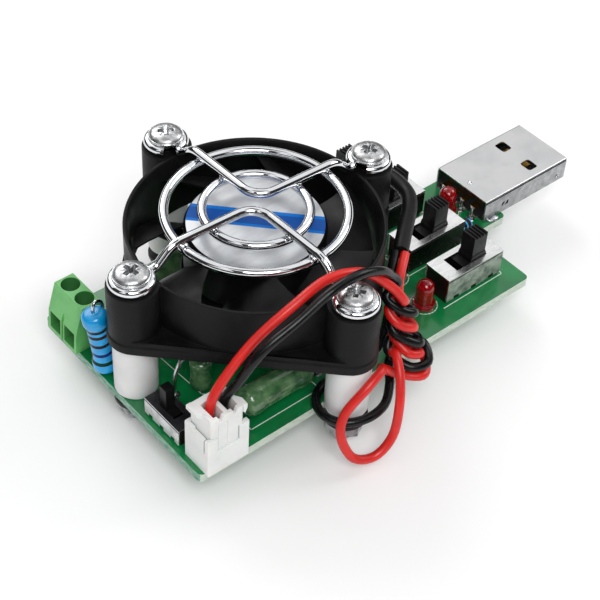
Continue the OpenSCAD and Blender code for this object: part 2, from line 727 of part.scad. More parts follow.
// The bar that the wire is pressed against, with its solder pin
module terminal_pins() color("#c9ccd0")
for (y = terminal_poles) {
    translate([terminal_mid_x - clamp_l / 2 + 0.3, y - clamp_bar_w / 2, clamp_bar_z])
        cube([terminal_pin_x + terminal_pin_r - terminal_mid_x + clamp_l / 2 - 0.3, clamp_bar_w, clamp_bar_t]);
    lead_end([terminal_pin_x, y], terminal_pin_r, clamp_bar_z + clamp_bar_t / 2);
}

// FAN CONNECTOR

module fan_socket() color("#eceae2")
difference() {
    block(socket_x, socket_y, board_top, [socket_l, socket_w, socket_h]);
    block(socket_x, socket_y, board_top + socket_floor,
          [socket_l - 2 * socket_wall, socket_w - 2 * socket_wall, socket_h]);
    for (s = socket_spots)
        translate([s[0], s[1], board_top - 1]) cylinder(r = socket_pin_r, h = 4, $fn = 24);
    // Key slots in the near wall, and a slit in each end
    for (s = [-1, 1])
        block(socket_x + s * 1.9, socket_near, board_top + 2.6, [1.1, 2, socket_h]);
    block(socket_x, socket_y + 1.4, board_top + 3.4, [socket_l + 2, 1, socket_h]);
}

module socket_pins() color("#c9ccd0")
for (s = socket_spots) lead_end(s, socket_pin_r, board_top + socket_h - 1.4);

// Half the outline of the plug's head, as it stands on the socket
module plug_head_half() {
    edge = plug_head_w / 2;
    tip = edge + plug_wing;
    wing_low = plug_rise - plug_wing_t;
    polygon([[0, 0], [edge, 0], [edge, wing_low - plug_wing_slope], [tip, wing_low],
             [tip, plug_rise], [0, plug_rise]]);
}

module fan_plug() color("#f1efe8")
difference() {
    union() {
        block(socket_x, socket_y, board_top + socket_floor + 0.1,
              [socket_l - 2 * socket_wall - 0.1, socket_w - 2 * socket_wall - 0.1, socket_h]);
        // Head with a wing at each end
        translate([socket_x, socket_y + plug_head_l / 2, board_top + socket_h]) rotate([90, 0, 0])
            linear_extrude(plug_head_l) {
                plug_head_half();
                mirror([1, 0]) plug_head_half();
            }
    }
    for (s = socket_spots) {
        translate([s[0], s[1], board_top + 1]) cylinder(r = plug_bore, h = 20);
        // Open front of each cavity
        translate([s[0] - 0.65, socket_near - 1, board_top + socket_h + 0.8])
            cube([1.3, s[1] - socket_near + 1, plug_rise]);
    }
}

module plug_contacts() color("#c9ccd0")
for (s = socket_spots)
    translate([s[0], s[1], board_top + 2.2]) ring(plug_bore, socket_pin_r, wire_start_z - board_top - 2.2);

// RESISTORS

// A resistor's body along Z, from its foot
module resistor_body(r, waist, l, cap) {
    rotate_extrude()
        difference() {
            union() {
                square([waist, l - 0.4]);
                translate([0, 0.2]) square([waist, l - 0.4]);
                for (z = [0, l - cap]) {
                    translate([0, z + 0.5]) square([r, cap - 1]);
                    translate([0, z]) square([r - 0.5, cap]);
                    for (k = [0.5, cap - 0.5]) translate([r - 0.5, z + k]) circle(0.5, $fn = 24);
                }
            }
            translate([-r, -1]) square([r, l + 2]);
        }
}

module lying_load(spot) color("#3f9a5f")
translate([spot[0] - load_l / 2, spot[1], load_z])
    rotate([0, 90, 0]) resistor_body(load_r, load_r - 0.15, load_l, load_l / 4);

module load_resistor_1() lying_load(load_spots[0]);
module load_resistor_2() lying_load(load_spots[1]);
module load_resistor_3() lying_load(load_spots[2]);

module load_resistor_4() color("#3f9a5f")
translate([small_load_at[0], small_load_at[1], board_top + 0.5])
    resistor_body(small_load_r, small_load_r - 0.1, small_load_l, small_load_l / 3);

module sense_resistor() color("#5b9fc9")
translate([sense_at[0], sense_at[1], board_top + sense_lift]) rotate(sense_lean)
    resistor_body(sense_r, sense_r - 0.25, sense_l, 3);

module lamp_resistor() color("#5b9fc9")
translate([lamp_resistor_at[0] - lamp_resistor_l / 2, lamp_resistor_at[1], board_top + lamp_resistor_r + 0.15])
    rotate([0, 90, 0]) resistor_body(lamp_resistor_r, lamp_resistor_r - 0.12, lamp_resistor_l, 1.1);

// A bent lead: a point a little before and after each of its corners
module bent_lead(points, r) {
    ease = 2.5 * r;
    last = len(points) - 1;
    tube(concat([points[0]],
                [for (i = [1:last - 1], k = [-1, 1])
                 let (d = points[i + k] - points[i]) points[i] + d / norm(d) * min(ease, norm(d) / 2.2)],
                [points[last]]), r);
}

module component_leads() color("#c9ccd0") {
    for (s = lamp_spots, k = [-1, 1])
        lead_end([s[0], s[1] + k * lamp_lead_pitch / 2], lamp_lead_r, board_top + 0.8);
    for (s = load_spots, k = [-1, 1])
        bent_lead([[s[0] + k * load_l / 2, s[1], load_z], [s[0] + k * load_foot, s[1], load_z],
                   [s[0] + k * load_foot, s[1], lead_low]], lead_r);
    // The small standing load resistor
    foot = board_top + 0.5;
    top = foot + small_load_l;
    lead_end(small_load_at, lead_r, foot);
    bent_lead([[small_load_at[0], small_load_at[1], top], [small_load_at[0], small_load_at[1], top + 1.4],
               [-18.2, -5.8, top + 1.4], [small_load_foot[0], small_load_foot[1], top - 2.4],
               [small_load_foot[0], small_load_foot[1], lead_low]], lead_r);
    // The sense resistor
    lead_end(sense_at, lead_r, board_top + sense_lift);
    bent_lead([sense_top, sense_top + [0, 0, 1.8], [-26, 3.2, board_top + 14.8],
               [-25.8, 3.2, board_top + 10.4], [-23.6, 3.6, board_top + 7.4],
               [sense_foot[0], sense_foot[1], board_top + 2], [sense_foot[0], sense_foot[1], lead_low]], lead_r);
    // The small resistor beside the power lamp
    z = board_top + lamp_resistor_r + 0.15;
    left = lamp_resistor_feet[0];
    right = lamp_resistor_feet[1];
    bent_lead([[lamp_resistor_at[0] - lamp_resistor_l / 2, lamp_resistor_at[1], z],
               [left[0], lamp_resistor_at[1], z], [left[0], left[1], z], [left[0], left[1], lead_low]],
              lamp_resistor_lead_r);
    bent_lead([[lamp_resistor_at[0] + lamp_resistor_l / 2, lamp_resistor_at[1], z],
               [right[0] - 0.2, lamp_resistor_at[1], z], [right[0], right[1], z - 0.2],
               [right[0], right[1], lead_low]], lamp_resistor_lead_r);
}

// FAN

// A flat rectangle turned with the fan
module fan_square(size, r) {
    rotate([0, 0, 45]) round_rect([size, size], r);
}

// Something that points from the axis along the wide strut
module along_strut(turn) {
    rotate([0, 0, strut_turn + turn]) children();
}

module fan_frame() color("#232426")
difference() {
    union() {
        translate([0, 0, fan_base]) linear_extrude(flange_t) difference() {
            fan_square(fan_w, post_r);
            circle(duct_bore, $fn = 96);
        }
        difference() {
            union() {
                translate([0, 0, fan_base]) cylinder(r = duct_r, h = fan_h, $fn = 96);
                on_bolts(fan_base) cylinder(r = post_r, h = fan_h);
                for (a = [0:90:270]) rotate([0, 0, a])
                    translate([duct_bore, -web_w / 2, fan_base]) cube([bolt_r - duct_bore, web_w, fan_h]);
            }
            translate([0, 0, fan_base - 1]) cylinder(r = duct_bore, h = fan_h + 2, $fn = 96);
            // Flared mouth
            translate([0, 0, fan_top - 1.4])
                cylinder(r1 = duct_bore, r2 = duct_bore + mouth_flare, h = 1.42, $fn = 96);
        }
        // Motor plate, bearing tube and struts
        translate([0, 0, fan_base]) cylinder(r = motor_plate_r, h = motor_plate_t);
        translate([0, 0, fan_base]) cylinder(r = bearing_r + 0.7, h = bearing_top - fan_base);
        for (k = [0:3]) along_strut(90 * k)
            translate([motor_plate_r - 1, -(k == 0 ? strut_w + 1.4 : strut_w) / 2, fan_base])
                cube([duct_bore - motor_plate_r + 1.4, k == 0 ? strut_w + 1.4 : strut_w, motor_plate_t]);
    }
    on_bolts(fan_base - 1) cylinder(r = screw_r + screw_gap, h = fan_h + 2);
    translate([0, 0, fan_base + 0.6]) cylinder(r = bearing_r, h = fan_h);
    // Channel for the motor's leads, and the notch where the sleeve goes in
    along_strut(0) {
        translate([lead_rise_r - 1.2, -channel_w / 2, fan_base - 1])
            cube([duct_r - lead_rise_r + 1.2, channel_w, 1 + channel_h]);
        translate([lead_rise_r - 1.2, -channel_w / 2, fan_base - 1]) cube([2.4, channel_w, 4]);
        translate([notch_r, -sleeve_r - 0.1, fan_base - 1]) cube([8, 2 * sleeve_r + 0.2, 2 * sleeve_r + 1.2]);
    }
}

function blade_angle(r, j) = blade_sweep * j / blade_n_along + (r - hub_r) * 1.6;
function blade_z(r, j) = blade_low + blade_t / 2
    + (blade_high - blade_low - blade_t) * pow(j / blade_n_along, 0.85) * (1 - 0.02 * (r - hub_r));
function blade_point(r, j, up) =
    let (half = blade_t / 2 * (j == 0 || j == blade_n_along ? 0.45 : 1))
    [r * cos(blade_angle(r, j)), r * sin(blade_angle(r, j)), blade_z(r, j) + up * half];

// One swept blade, its upper skin and lower skin closed at the edges
module blade() {
    radii = [for (i = [0:blade_n_out]) hub_r - 0.4 + (blade_tip_r - hub_r + 0.4) * i / blade_n_out];
    row = blade_n_along + 1;
    skin = row * (blade_n_out + 1);
    points = [for (up = [1, -1], r = radii, j = [0:blade_n_along]) blade_point(r, j, up)];
    upper = [for (i = [0:blade_n_out - 1], j = [0:blade_n_along - 1])
             [i * row + j, i * row + j + 1, (i + 1) * row + j + 1, (i + 1) * row + j]];
    lower = [for (f = upper) [for (k = [3:-1:0]) f[k] + skin]];
    ends = [for (j = [0:blade_n_along - 1], i = [0, blade_n_out])
            let (a = i * row + j, b = a + 1)
            i == 0 ? [a, a + skin, b + skin, b] : [b, b + skin, a + skin, a]];
    edges = [for (i = [0:blade_n_out - 1], j = [0, blade_n_along])
             let (a = i * row + j, b = a + row)
             j == 0 ? [b, b + skin, a + skin, a] : [a, a + skin, b + skin, b]];
    polyhedron(points, concat(upper, lower, ends, edges), convexity = 4);
}

module fan_rotor() color("#1f2022")
difference() {
    union() {
        difference() {
            union() {
                translate([0, 0, hub_low]) cylinder(r = hub_r, h = hub_high - hub_low - 0.5, $fn = 72);
                translate([0, 0, hub_high - 0.5]) cylinder(r1 = hub_r, r2 = hub_r - 0.4, h = 0.5, $fn = 72);
                for (k = [0:blade_n - 1]) rotate([0, 0, k * 360 / blade_n]) blade();
            }
            translate([0, 0, hub_low - 1]) cylinder(r = hub_r - hub_wall, h = hub_high - hub_low - hub_top_t + 1, $fn = 72);
        }
        translate([0, 0, hub_high - hub_top_t - 1]) cylinder(r = 2.2, h = 1.5);
    }
    translate([0, 0, hub_low]) cylinder(r = shaft_r, h = hub_high - hub_low - 0.4);
}

module fan_magnet() color("#3a3a3c")
translate([0, 0, hub_low + 0.3])
    ring(hub_r - hub_wall - glue_gap, hub_r - hub_wall - magnet_wall, hub_high - hub_low - hub_top_t - 0.5);

module fan_shaft() color("#c9ccd0")
translate([0, 0, fan_base + 0.8]) cylinder(r = shaft_r, h = hub_high - 0.4 - fan_base - 0.8);

module fan_bearing() color("#b08d4f")
translate([0, 0, fan_base + 0.6]) ring(bearing_r, shaft_r + shaft_gap, bearing_top - fan_base - 0.6);

module fan_stator() color("#8a5a32")
translate([0, 0, stator_low])
    difference() {
        union() {
            cylinder(r = bearing_r + 2, h = stator_h);
            for (a = [0:90:270]) rotate([0, 0, a]) {
                translate([0, -1.2, 0]) cube([stator_r - 0.6, 2.4, stator_h]);
                intersection() {
                    ring(stator_r, stator_r - 1, stator_h);
                    translate([0, -4.6, 0]) cube([stator_r + 1, 9.2, stator_h]);
                }
            }
        }
        translate([0, 0, -1]) cylinder(r = bearing_r + 0.7, h = stator_h + 2);
    }

module fan_circuit() color("#1c6b3a")
translate([0, 0, fan_base + motor_plate_t]) ring(stator_r - 0.3, bearing_r + 0.7, 0.6);

module motor_leads() color("#b3161b")
for (s = [-1, 1])
    along_strut(0)
        wire([[sleeve_in_r, s * 0.6, lead_z], [lead_rise_r, s * 0.6, lead_z],
              [lead_rise_r, s * 0.6, fan_base + motor_plate_t]], motor_lead_r);

module fan_label() color("#c3c8cf")
translate([0, 0, hub_high]) cylinder(r = hub_r - 0.4, h = 0.12, $fn = 72);

// FINGER GUARD

module guard_ring(r) {
    translate([0, 0, guard_z - 2 * guard_wire_r + 0.1])
        rotate_extrude($fn = 96) translate([r, 0]) circle(guard_wire_r, $fn = 20);
}

// A wire that crosses the rings, bent at its tip, with an eye at either end
module guard_v() {
    wide = 90 - 2 * guard_toe;
    reach = guard_tip_r / cos(wide / 2);
    middle = [-guard_corner, -guard_corner, guard_z] - [reach, reach, 0] / sqrt(2);
    translate(middle) rotate([0, 0, guard_toe]) rotate_extrude(angle = wide)
        translate([guard_tip_r, 0]) circle(guard_wire_r, $fn = 20);
    for (k = [0, 1]) mirror([k, -k, 0]) {
        tip = middle + [guard_tip_r * cos(90 - guard_toe), guard_tip_r * sin(90 - guard_toe), 0];
        wire([tip, [-guard_leg_r, 0, guard_z], [-guard_leg_r - 2.9, 0, guard_low],
              [-bolt_r + guard_eye_r, 0, guard_low]], guard_wire_r, $fn = 20);
        translate([-bolt_r + guard_eye_r, 0, guard_low]) sphere(guard_wire_r, $fn = 20);
        translate([-bolt_r, 0, guard_low]) mirror([0, 1, 0]) rotate_extrude(angle = 318)
            translate([guard_eye_r, 0]) circle(guard_wire_r, $fn = 20);
    }
}

module finger_guard() color("#d4d7db") {
    guard_ring(guard_outer_r);
    guard_ring(guard_inner_r);
    guard_v();
    rotate([0, 0, 180]) guard_v();
}

// FASTENERS

module fan_screws() color("#d0d3d7")
on_bolts(0) difference() {
    union() {
        cylinder(r = screw_r, h = head_z + 0.1);
        // Flat rim, then a low dome
        translate([0, 0, head_z]) rotate_extrude()
            polygon([[0, 0], [screw_head_r, 0], [screw_head_r, 0.35 * screw_head_h],
                     [screw_head_r - 0.25, 0.6 * screw_head_h], [screw_head_r - 0.8, 0.83 * screw_head_h],
                     [screw_head_r - 1.6, 0.97 * screw_head_h], [0, screw_head_h]]);
    }
    // Cross recess, one of its arms cut on to the rim as a slot
    block(0, 0, head_z + 0.3, [3.4, 0.9, 2]);
    block(0, 0, head_z + 0.3, [0.9, 3.4, 2]);
    block(0, 0, head_z + screw_head_h - 0.6, [8, 0.7, 1]);
}

module fan_spacers() color("#e9e9e6")
on_bolts(board_top) ring(spacer_r, screw_r + screw_gap, spacer_h);

module fan_washers() color("#2a2b2d")
on_bolts(board_lift - washer_t) ring(washer_r, screw_r + screw_gap, washer_t);

module fan_nuts() color("#c9ccd0")
on_bolts(board_lift - washer_t - nut_h)
    difference() {
        linear_extrude(nut_h) polygon([for (a = [30:60:330]) nut_af / sqrt(3) * [cos(a), sin(a)]]);
        translate([0, 0, -1]) cylinder(r = screw_r, h = nut_h + 2);
    }

// WIRES

function unit(v) = v / norm(v);
function heading(route, i) = unit(route[min(i + 1, len(route) - 1)] - route[max(i - 1, 0)]);
// The sideways direction at each point, carried on from the one before
function sideways(route, i, last) = i == len(route) ? [] :
    let (t = heading(route, i), s = unit(last - (last * t) * t))
    concat([s], sideways(route, i + 1, s));

// A round tube swept along a route, with a ring of 8 corners at every point
module tube(route, r) {
    n = 8;
    side = sideways(route, 0, [0.3, 0.9, 0.2]);
    points = [for (i = [0:len(route) - 1], k = [0:n - 1])
              let (a = 360 * k / n, across = cross(heading(route, i), side[i]))
              route[i] + r * (cos(a) * side[i] + sin(a) * across)];
    last = (len(route) - 1) * n;
    walls = [for (i = [0:len(route) - 2], k = [0:n - 1])
             [i * n + k, (i + 1) * n + k, (i + 1) * n + (k + 1) % n, i * n + (k + 1) % n]];
    caps = [[for (k = [0:n - 1]) k], [for (k = [n - 1:-1:0]) last + k]];
    polyhedron(points, concat(walls, caps), convexity = 8);
}

module wire_sleeve() color("#1b1b1d")
tube(sleeve_route, sleeve_r);

module fan_wire_red() color("#d3211c")
tube(red_route, wire_r);

module fan_wire_black() color("#1b1b1d")
tube(black_route, wire_r);

circuit_board();
solder_joints();
usb_shell();
usb_insulator();
usb_contacts();
switch_1_base();
switch_1_shell();
switch_1_slider();
switch_2_base();
switch_2_shell();
switch_2_slider();
switch_3_base();
switch_3_shell();
switch_3_slider();
switch_4_base();
switch_4_shell();
switch_4_slider();
fan_switch_base();
fan_switch_shell();
fan_switch_slider();
switch_pins();
lamp_1();
lamp_2();
lamp_3();
lamp_4();
power_lamp();
component_leads();
terminal_housing();
terminal_screw_1();
terminal_screw_2();
terminal_clamp_1();
terminal_clamp_2();
terminal_pins();
fan_socket();
socket_pins();
fan_plug();
plug_contacts();
sense_resistor();
load_resistor_1();
load_resistor_2();
load_resistor_3();
load_resistor_4();
lamp_resistor();
fan_frame();
fan_rotor();
fan_magnet();
fan_shaft();
fan_bearing();
fan_stator();
fan_circuit();
motor_leads();
fan_label();
finger_guard();
fan_screws();
fan_spacers();
fan_washers();
fan_nuts();
wire_sleeve();
fan_wire_red();
fan_wire_black();
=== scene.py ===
"""Looks of the USB load tester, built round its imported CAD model.

Every place is in the CAD model's frame: the origin is on the fan's axis, in the plane of the four
bolt ends, +X points to the plug and +Z up. Sizes are written in millimetres and made metres by MM.
"""
import json
import math

import bmesh
import bpy
from mathutils import Matrix, Vector

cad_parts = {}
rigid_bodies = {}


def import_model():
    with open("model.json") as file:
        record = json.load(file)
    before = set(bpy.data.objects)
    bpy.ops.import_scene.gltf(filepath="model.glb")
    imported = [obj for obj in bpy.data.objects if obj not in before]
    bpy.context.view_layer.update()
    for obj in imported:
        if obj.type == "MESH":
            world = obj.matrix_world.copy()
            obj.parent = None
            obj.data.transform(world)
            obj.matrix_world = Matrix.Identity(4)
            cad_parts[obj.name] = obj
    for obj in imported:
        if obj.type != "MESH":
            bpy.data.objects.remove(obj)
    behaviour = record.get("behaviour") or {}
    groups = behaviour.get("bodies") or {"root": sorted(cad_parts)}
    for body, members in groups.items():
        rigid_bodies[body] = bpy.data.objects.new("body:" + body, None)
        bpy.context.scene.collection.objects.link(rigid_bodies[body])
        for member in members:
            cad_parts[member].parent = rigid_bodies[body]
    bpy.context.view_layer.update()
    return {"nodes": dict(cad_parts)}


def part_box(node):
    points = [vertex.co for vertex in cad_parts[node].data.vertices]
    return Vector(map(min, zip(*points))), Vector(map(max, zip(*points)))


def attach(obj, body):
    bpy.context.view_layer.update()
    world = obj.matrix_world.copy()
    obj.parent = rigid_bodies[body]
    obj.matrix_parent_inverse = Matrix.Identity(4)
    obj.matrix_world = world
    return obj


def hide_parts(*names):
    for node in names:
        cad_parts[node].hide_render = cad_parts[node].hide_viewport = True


MM = 0.001
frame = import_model()
ROOT = "tester"

# Heights and places in the CAD model, in mm
BOARD_TOP = 7.0
FAN_BASE = 17.5
FAN_TOP = 28.2
BOLT_R = 22.627
BOLTS = ((BOLT_R, 0), (0, BOLT_R), (-BOLT_R, 0), (0, -BOLT_R))
SWITCH_X = 33.1
SWITCH_ROWS = (-13.9, -4.9, 4.9, 13.9)
LAMPS = {"lamp_1": (24.1, -14.2), "lamp_2": (24.7, -6.7), "lamp_3": (24.7, 6.7),
         "lamp_4": (24.1, 14.2), "power_lamp": (43, 0.2)}
LYING_LOADS = ((-7.9, -15.1), (-7.9, 15.1), (1, 0))
STANDING_LOAD = (-15.4, -6.6)
TERMINAL_X = -23.1
TERMINAL_POLES = (12.495, 16.305)


# CAMERA

def add_camera():
    """The photograph's camera, fitted to the board, the fan and the plug."""
    azimuth = math.radians(-42.335)
    elevation = math.radians(44.619)
    roll = math.radians(3.474)
    distance, shift_right, shift_up = 236.355, 7.542, 3.057
    back = Vector((math.sin(azimuth) * math.cos(elevation),
                   -math.cos(azimuth) * math.cos(elevation), math.sin(elevation)))
    right = Vector((math.cos(azimuth), math.sin(azimuth), 0))
    up = back.cross(right)
    right, up = (math.cos(roll) * right + math.sin(roll) * up,
                 math.cos(roll) * up - math.sin(roll) * right)
    place = shift_right * right + shift_up * up + distance * back + Vector((0, 0, BOARD_TOP))
    data = bpy.data.cameras.new("photo_camera")
    data.sensor_width = 36
    data.lens = 88.77
    data.clip_start = 0.01
    data.clip_end = 20
    camera = bpy.data.objects.new("photo_camera", data)
    bpy.context.collection.objects.link(camera)
    turned = Matrix((right, up, back)).transposed().to_4x4()
    camera.matrix_world = Matrix.Translation(place * MM) @ turned
    bpy.context.scene.camera = camera


add_camera()


# MATERIALS

# The two colour inputs and the colour output of a Mix node
MIX_A, MIX_B, MIX_OUT = 6, 7, 2
FINISHES = {}


def paint(text):
    """A colour written as on screen, as the linear colour that a shader takes."""
    parts = [int(text[i:i + 2], 16) / 255 for i in (1, 3, 5)]
    return [p / 12.92 if p < 0.04045 else ((p + 0.055) / 1.055) ** 2.4 for p in parts] + [1]


def new_group(name, inputs, outputs):
    """A shader node group with its sockets, and its two end nodes."""
    group = bpy.data.node_groups.new(name, "ShaderNodeTree")
    for way, rows in (("INPUT", inputs), ("OUTPUT", outputs)):
        for label, kind, *value in rows:
            socket = group.interface.new_socket(label, in_out=way, socket_type="NodeSocket" + kind)
            if value:
                socket.default_value = value[0]
    return group, group.nodes.new("NodeGroupInput"), group.nodes.new("NodeGroupOutput")


def link(tree, source, output, target, name):
    tree.links.new(source.outputs[output], target.inputs[name])


def add_node(tree, kind, **settings):
    made = tree.nodes.new("ShaderNode" + kind)
    for key, value in settings.items():
        setattr(made, key, value)
    return made


def worn_group():
    """Colour that drifts between two paints, uneven gloss and a fine grain."""
    group, start, end = new_group(
        "worn_surface",
        [("Base", "Color", (0.5, 0.5, 0.5, 1)), ("Shade", "Color", (0.4, 0.4, 0.4, 1)),
         ("Roughness", "Float", 0.4), ("Spread", "Float", 0.1), ("Size", "Float", 900.0),
         ("Stretch", "Vector", (1, 1, 1))],
        [("Color", "Color"), ("Roughness", "Float"), ("Height", "Float")])
    place = add_node(group, "TexCoord")
    stretch = add_node(group, "VectorMath", operation="MULTIPLY")
    patches = add_node(group, "TexNoise")
    patches.inputs["Detail"].default_value = 3
    finer = add_node(group, "Math", operation="MULTIPLY")
    finer.inputs[1].default_value = 6
    grain = add_node(group, "TexNoise")
    grain.inputs["Detail"].default_value = 1
    mask = add_node(group, "MapRange")
    mask.inputs["From Min"].default_value = 0.38
    mask.inputs["From Max"].default_value = 0.66
    mix = add_node(group, "Mix", data_type="RGBA")
    centred = add_node(group, "Math", operation="SUBTRACT")
    centred.inputs[1].default_value = 0.5
    spread = add_node(group, "Math", operation="MULTIPLY_ADD")
    link(group, place, "Object", stretch, 0)
    link(group, start, "Stretch", stretch, 1)
    for noise in (patches, grain):
        link(group, stretch, 0, noise, "Vector")
    link(group, start, "Size", patches, "Scale")
    link(group, start, "Size", finer, 0)
    link(group, finer, 0, grain, "Scale")
    link(group, patches, 0, mask, "Value")
    link(group, mask, "Result", mix, "Factor")
    link(group, start, "Base", mix, MIX_A)
    link(group, start, "Shade", mix, MIX_B)
    link(group, mix, MIX_OUT, end, "Color")
    link(group, mask, "Result", centred, 0)
    link(group, centred, 0, spread, 0)
    link(group, start, "Spread", spread, 1)
    link(group, start, "Roughness", spread, 2)
    link(group, spread, 0, end, "Roughness")
    link(group, grain, 0, end, "Height")
    return group


WORN = worn_group()


def finish(name, base, shade, rough, spread=0.1, size=900.0, bump=0.0, metallic=0.0,
           stretch=(1, 1, 1), **sockets):
    """Adds a material of one worn paint or metal.

    The colour drifts from base to shade in patches, of which there are about size to a metre, and
    spread is how much the gloss varies with them. bump is the grain's depth in mm.
    """
    made = bpy.data.materials.new(name)
    made.use_nodes = True
    tree = made.node_tree
    shader = tree.nodes["Principled BSDF"]
    worn = tree.nodes.new("ShaderNodeGroup")
    worn.node_tree = WORN
    worn.inputs["Base"].default_value = paint(base)
    worn.inputs["Shade"].default_value = paint(shade)
    worn.inputs["Roughness"].default_value = rough
    worn.inputs["Spread"].default_value = spread
    worn.inputs["Size"].default_value = size
    worn.inputs["Stretch"].default_value = stretch
    link(tree, worn, "Color", shader, "Base Color")
    link(tree, worn, "Roughness", shader, "Roughness")
    shader.inputs["Metallic"].default_value = metallic
    for key, value in sockets.items():
        shader.inputs[key.replace("_", " ")].default_value = value
    if bump:
        relief = add_node(tree, "Bump")
        relief.inputs["Distance"].default_value = bump * MM
        link(tree, worn, "Height", relief, "Height")
        link(tree, relief, "Normal", shader, "Normal")
    FINISHES[name] = made
    return made


# Board and solder: name, base, shade, roughness, spread, size, bump, metallic and stretch
finish("mask_green", "#0a6a38", "#0d7d41", 0.24, 0.1, 160, Coat_Weight=0.3)
finish("board_edge", "#4f8a70", "#a9c4b5", 0.75, 0.1, 700, 0.05, stretch=(1, 1, 6))
# Painted light: the board's near edge in a paler copy of the edge's colour
finish("board_rim", "#b4c4b4", "#d3dbd0", 0.75, 0.1, 900, 0.05, stretch=(1, 1, 5))
finish("print_white", "#dfe6df", "#c9d6cb", 0.6, 0.1, 1500)
finish("solder", "#c9ccd0", "#aeb2b6", 0.26, 0.14, 900, 0.05, 1.0)
finish("pad_tin", "#d4d6d2", "#bfc1ba", 0.3, 0.14, 700, 0.02, 1.0)

# Metals
finish("plated_steel", "#d3d3d4", "#cbcccd", 0.24, 0.05, 200, 0.0, 1.0)
# Painted shade: the plug shell's sides in a darker copy of its plating
finish("plated_side_painted_shade", "#adaeaf", "#8f9193", 0.3, 0.12, 700, 0.02, 1.0)
# Painted shade in the grooves of the seams
finish("seam_dark", "#1c1c1d", "#28282a", 0.6)
finish("switch_steel", "#ececed", "#dcdddd", 0.24, 0.1, 300, 0.0, 1.0, (1, 3, 3))
# Painted reflection: the outer switches' long sides, greenish and darker than their tops
finish("switch_side", "#b4bab2", "#6f786f", 0.4, 0.2, 700, 0.02, 0.5)
# Painted shade: the inner switches' long sides, dark green
finish("switch_shade", "#2c352f", "#171f1a", 0.34, 0.2, 520, 0.02, 1.0)
# Painted light: the fan switch's long sides, lighter than its top
finish("switch_tin", "#dcdcdd", "#b3b4b5", 0.34, 0.2, 520, 0.02, 0.35)
# Painted dark reflection: the fan switch's metal top, near black
finish("switch_dark", "#1a1a1c", "#26262a", 0.34, 0.12, 500, 0.02, Specular_IOR_Level=0.4)
finish("gold", "#e3b35a", "#d7a044", 0.22, 0.08, 900, 0.0, 1.0)
finish("tinned_wire", "#cfd1d3", "#b9bbbd", 0.2, 0.1, 900, 0.0, 1.0)
finish("steel", "#c4c6c9", "#adb0b3", 0.25, 0.1, 900, 0.0, 1.0)
finish("bronze", "#b08d4f", "#9b7a42", 0.4, 0.1, 900, 0.0, 1.0)
finish("stator_steel", "#8a5a32", "#9a6a3c", 0.4, 0.1, 1500, 0.05, 0.6)
finish("chrome", "#e6e7ea", "#dddfe2", 0.05, 0.03, 200, 0.0, 1.0)
finish("screw_steel", "#dcddde", "#a8aaac", 0.22, 0.2, 1300, 0.02, 1.0)
finish("head_steel", "#d6d6d7", "#9d9ea0", 0.34, 0.16, 1300, 0.02, 1.0)
# Painted shade in the screws' cross recesses
finish("recess_painted_shade", "#c2c3c5", "#77787a", 0.3, 0.16, 900, 0.02, 1.0)
# Painted shade: the nuts under the board, darker steel with dark patches
finish("nut_steel", "#b4b5b7", "#5c5e60", 0.24, 0.2, 700, 0.02, 1.0)

# Plastics
finish("plug_black", "#121213", "#171718", 0.5, 0.1, 900, 0.01, Specular_IOR_Level=0.25)
finish("switch_black", "#140b0c", "#240e10", 0.42, 0.12, 500, 0.02, Specular_IOR_Level=0.25)
finish("knob_black", "#0b0b0c", "#101011", 0.4, 0.12, 900, 0.02, Specular_IOR_Level=0.22)
finish("fan_black", "#0d0d0e", "#151516", 0.5, 0.14, 260, 0.02, Specular_IOR_Level=0.15)
finish("rotor_black", "#0d0d0e", "#131314", 0.4, 0.14, 260, 0.01, Specular_IOR_Level=0.25)
finish("washer_black", "#19191a", "#222223", 0.5, 0.1, 900, 0.01, Specular_IOR_Level=0.25)
finish("sleeve_black", "#0b0b0c", "#131313", 0.44, 0.12, 500, 0.03, Specular_IOR_Level=0.2)
finish("wire_red", "#d11f18", "#c11711", 0.36, 0.12, 400, 0.01)
finish("wire_black", "#090a0b", "#101112", 0.26, 0.12, 400, 0.01, Specular_IOR_Level=0.3)
finish("magnet_grey", "#3a3a3c", "#444446", 0.6)
finish("terminal_green", "#66b466", "#58a65a", 0.42, 0.1, 300, 0.01,
       Subsurface_Weight=0.12, Subsurface_Scale=0.002)
# Painted shade inside the terminal's screw wells and wire entries
finish("terminal_deep", "#3f8544", "#367a3c", 0.5, 0.1, 300, 0.01)
finish("nylon_white", "#e2e3e1", "#d9dad8", 0.4, 0.1, 250, 0.006,
       Subsurface_Weight=0.15, Subsurface_Scale=0.002)
finish("spacer_white", "#dbdbdb", "#d3d3d3", 0.4, 0.1, 200, 0.006,
       Subsurface_Weight=0.2, Subsurface_Scale=0.002)

# Lacquers and lenses
finish("resistor_green", "#2b5534", "#5f8458", 0.14, 0.08, 420, 0.05, Coat_Weight=0.8)
finish("resistor_blue", "#0a8dcb", "#16a0dd", 0.22, 0.08, 300, 0.02, Coat_Weight=0.15)
finish("band_black", "#0a0a0a", "#100e0e", 0.3, Specular_IOR_Level=0.2)
finish("band_brown", "#231008", "#2c150c", 0.3, Specular_IOR_Level=0.2)
finish("band_navy", "#081a5e", "#0b226c", 0.3, Specular_IOR_Level=0.2)
finish("band_green", "#062a15", "#08321a", 0.3, Specular_IOR_Level=0.2)
finish("lens_red", "#b50d16", "#96070f", 0.08, 0.04, 400,
       Transmission_Weight=0.5, Coat_Weight=0.3, IOR=1.5)
# Painted shade at the lenses' feet
finish("lens_deep", "#7c060c", "#a80d15", 0.1, 0.04, 900,
       Transmission_Weight=0.3, Coat_Weight=0.3, IOR=1.5)


# PIECES

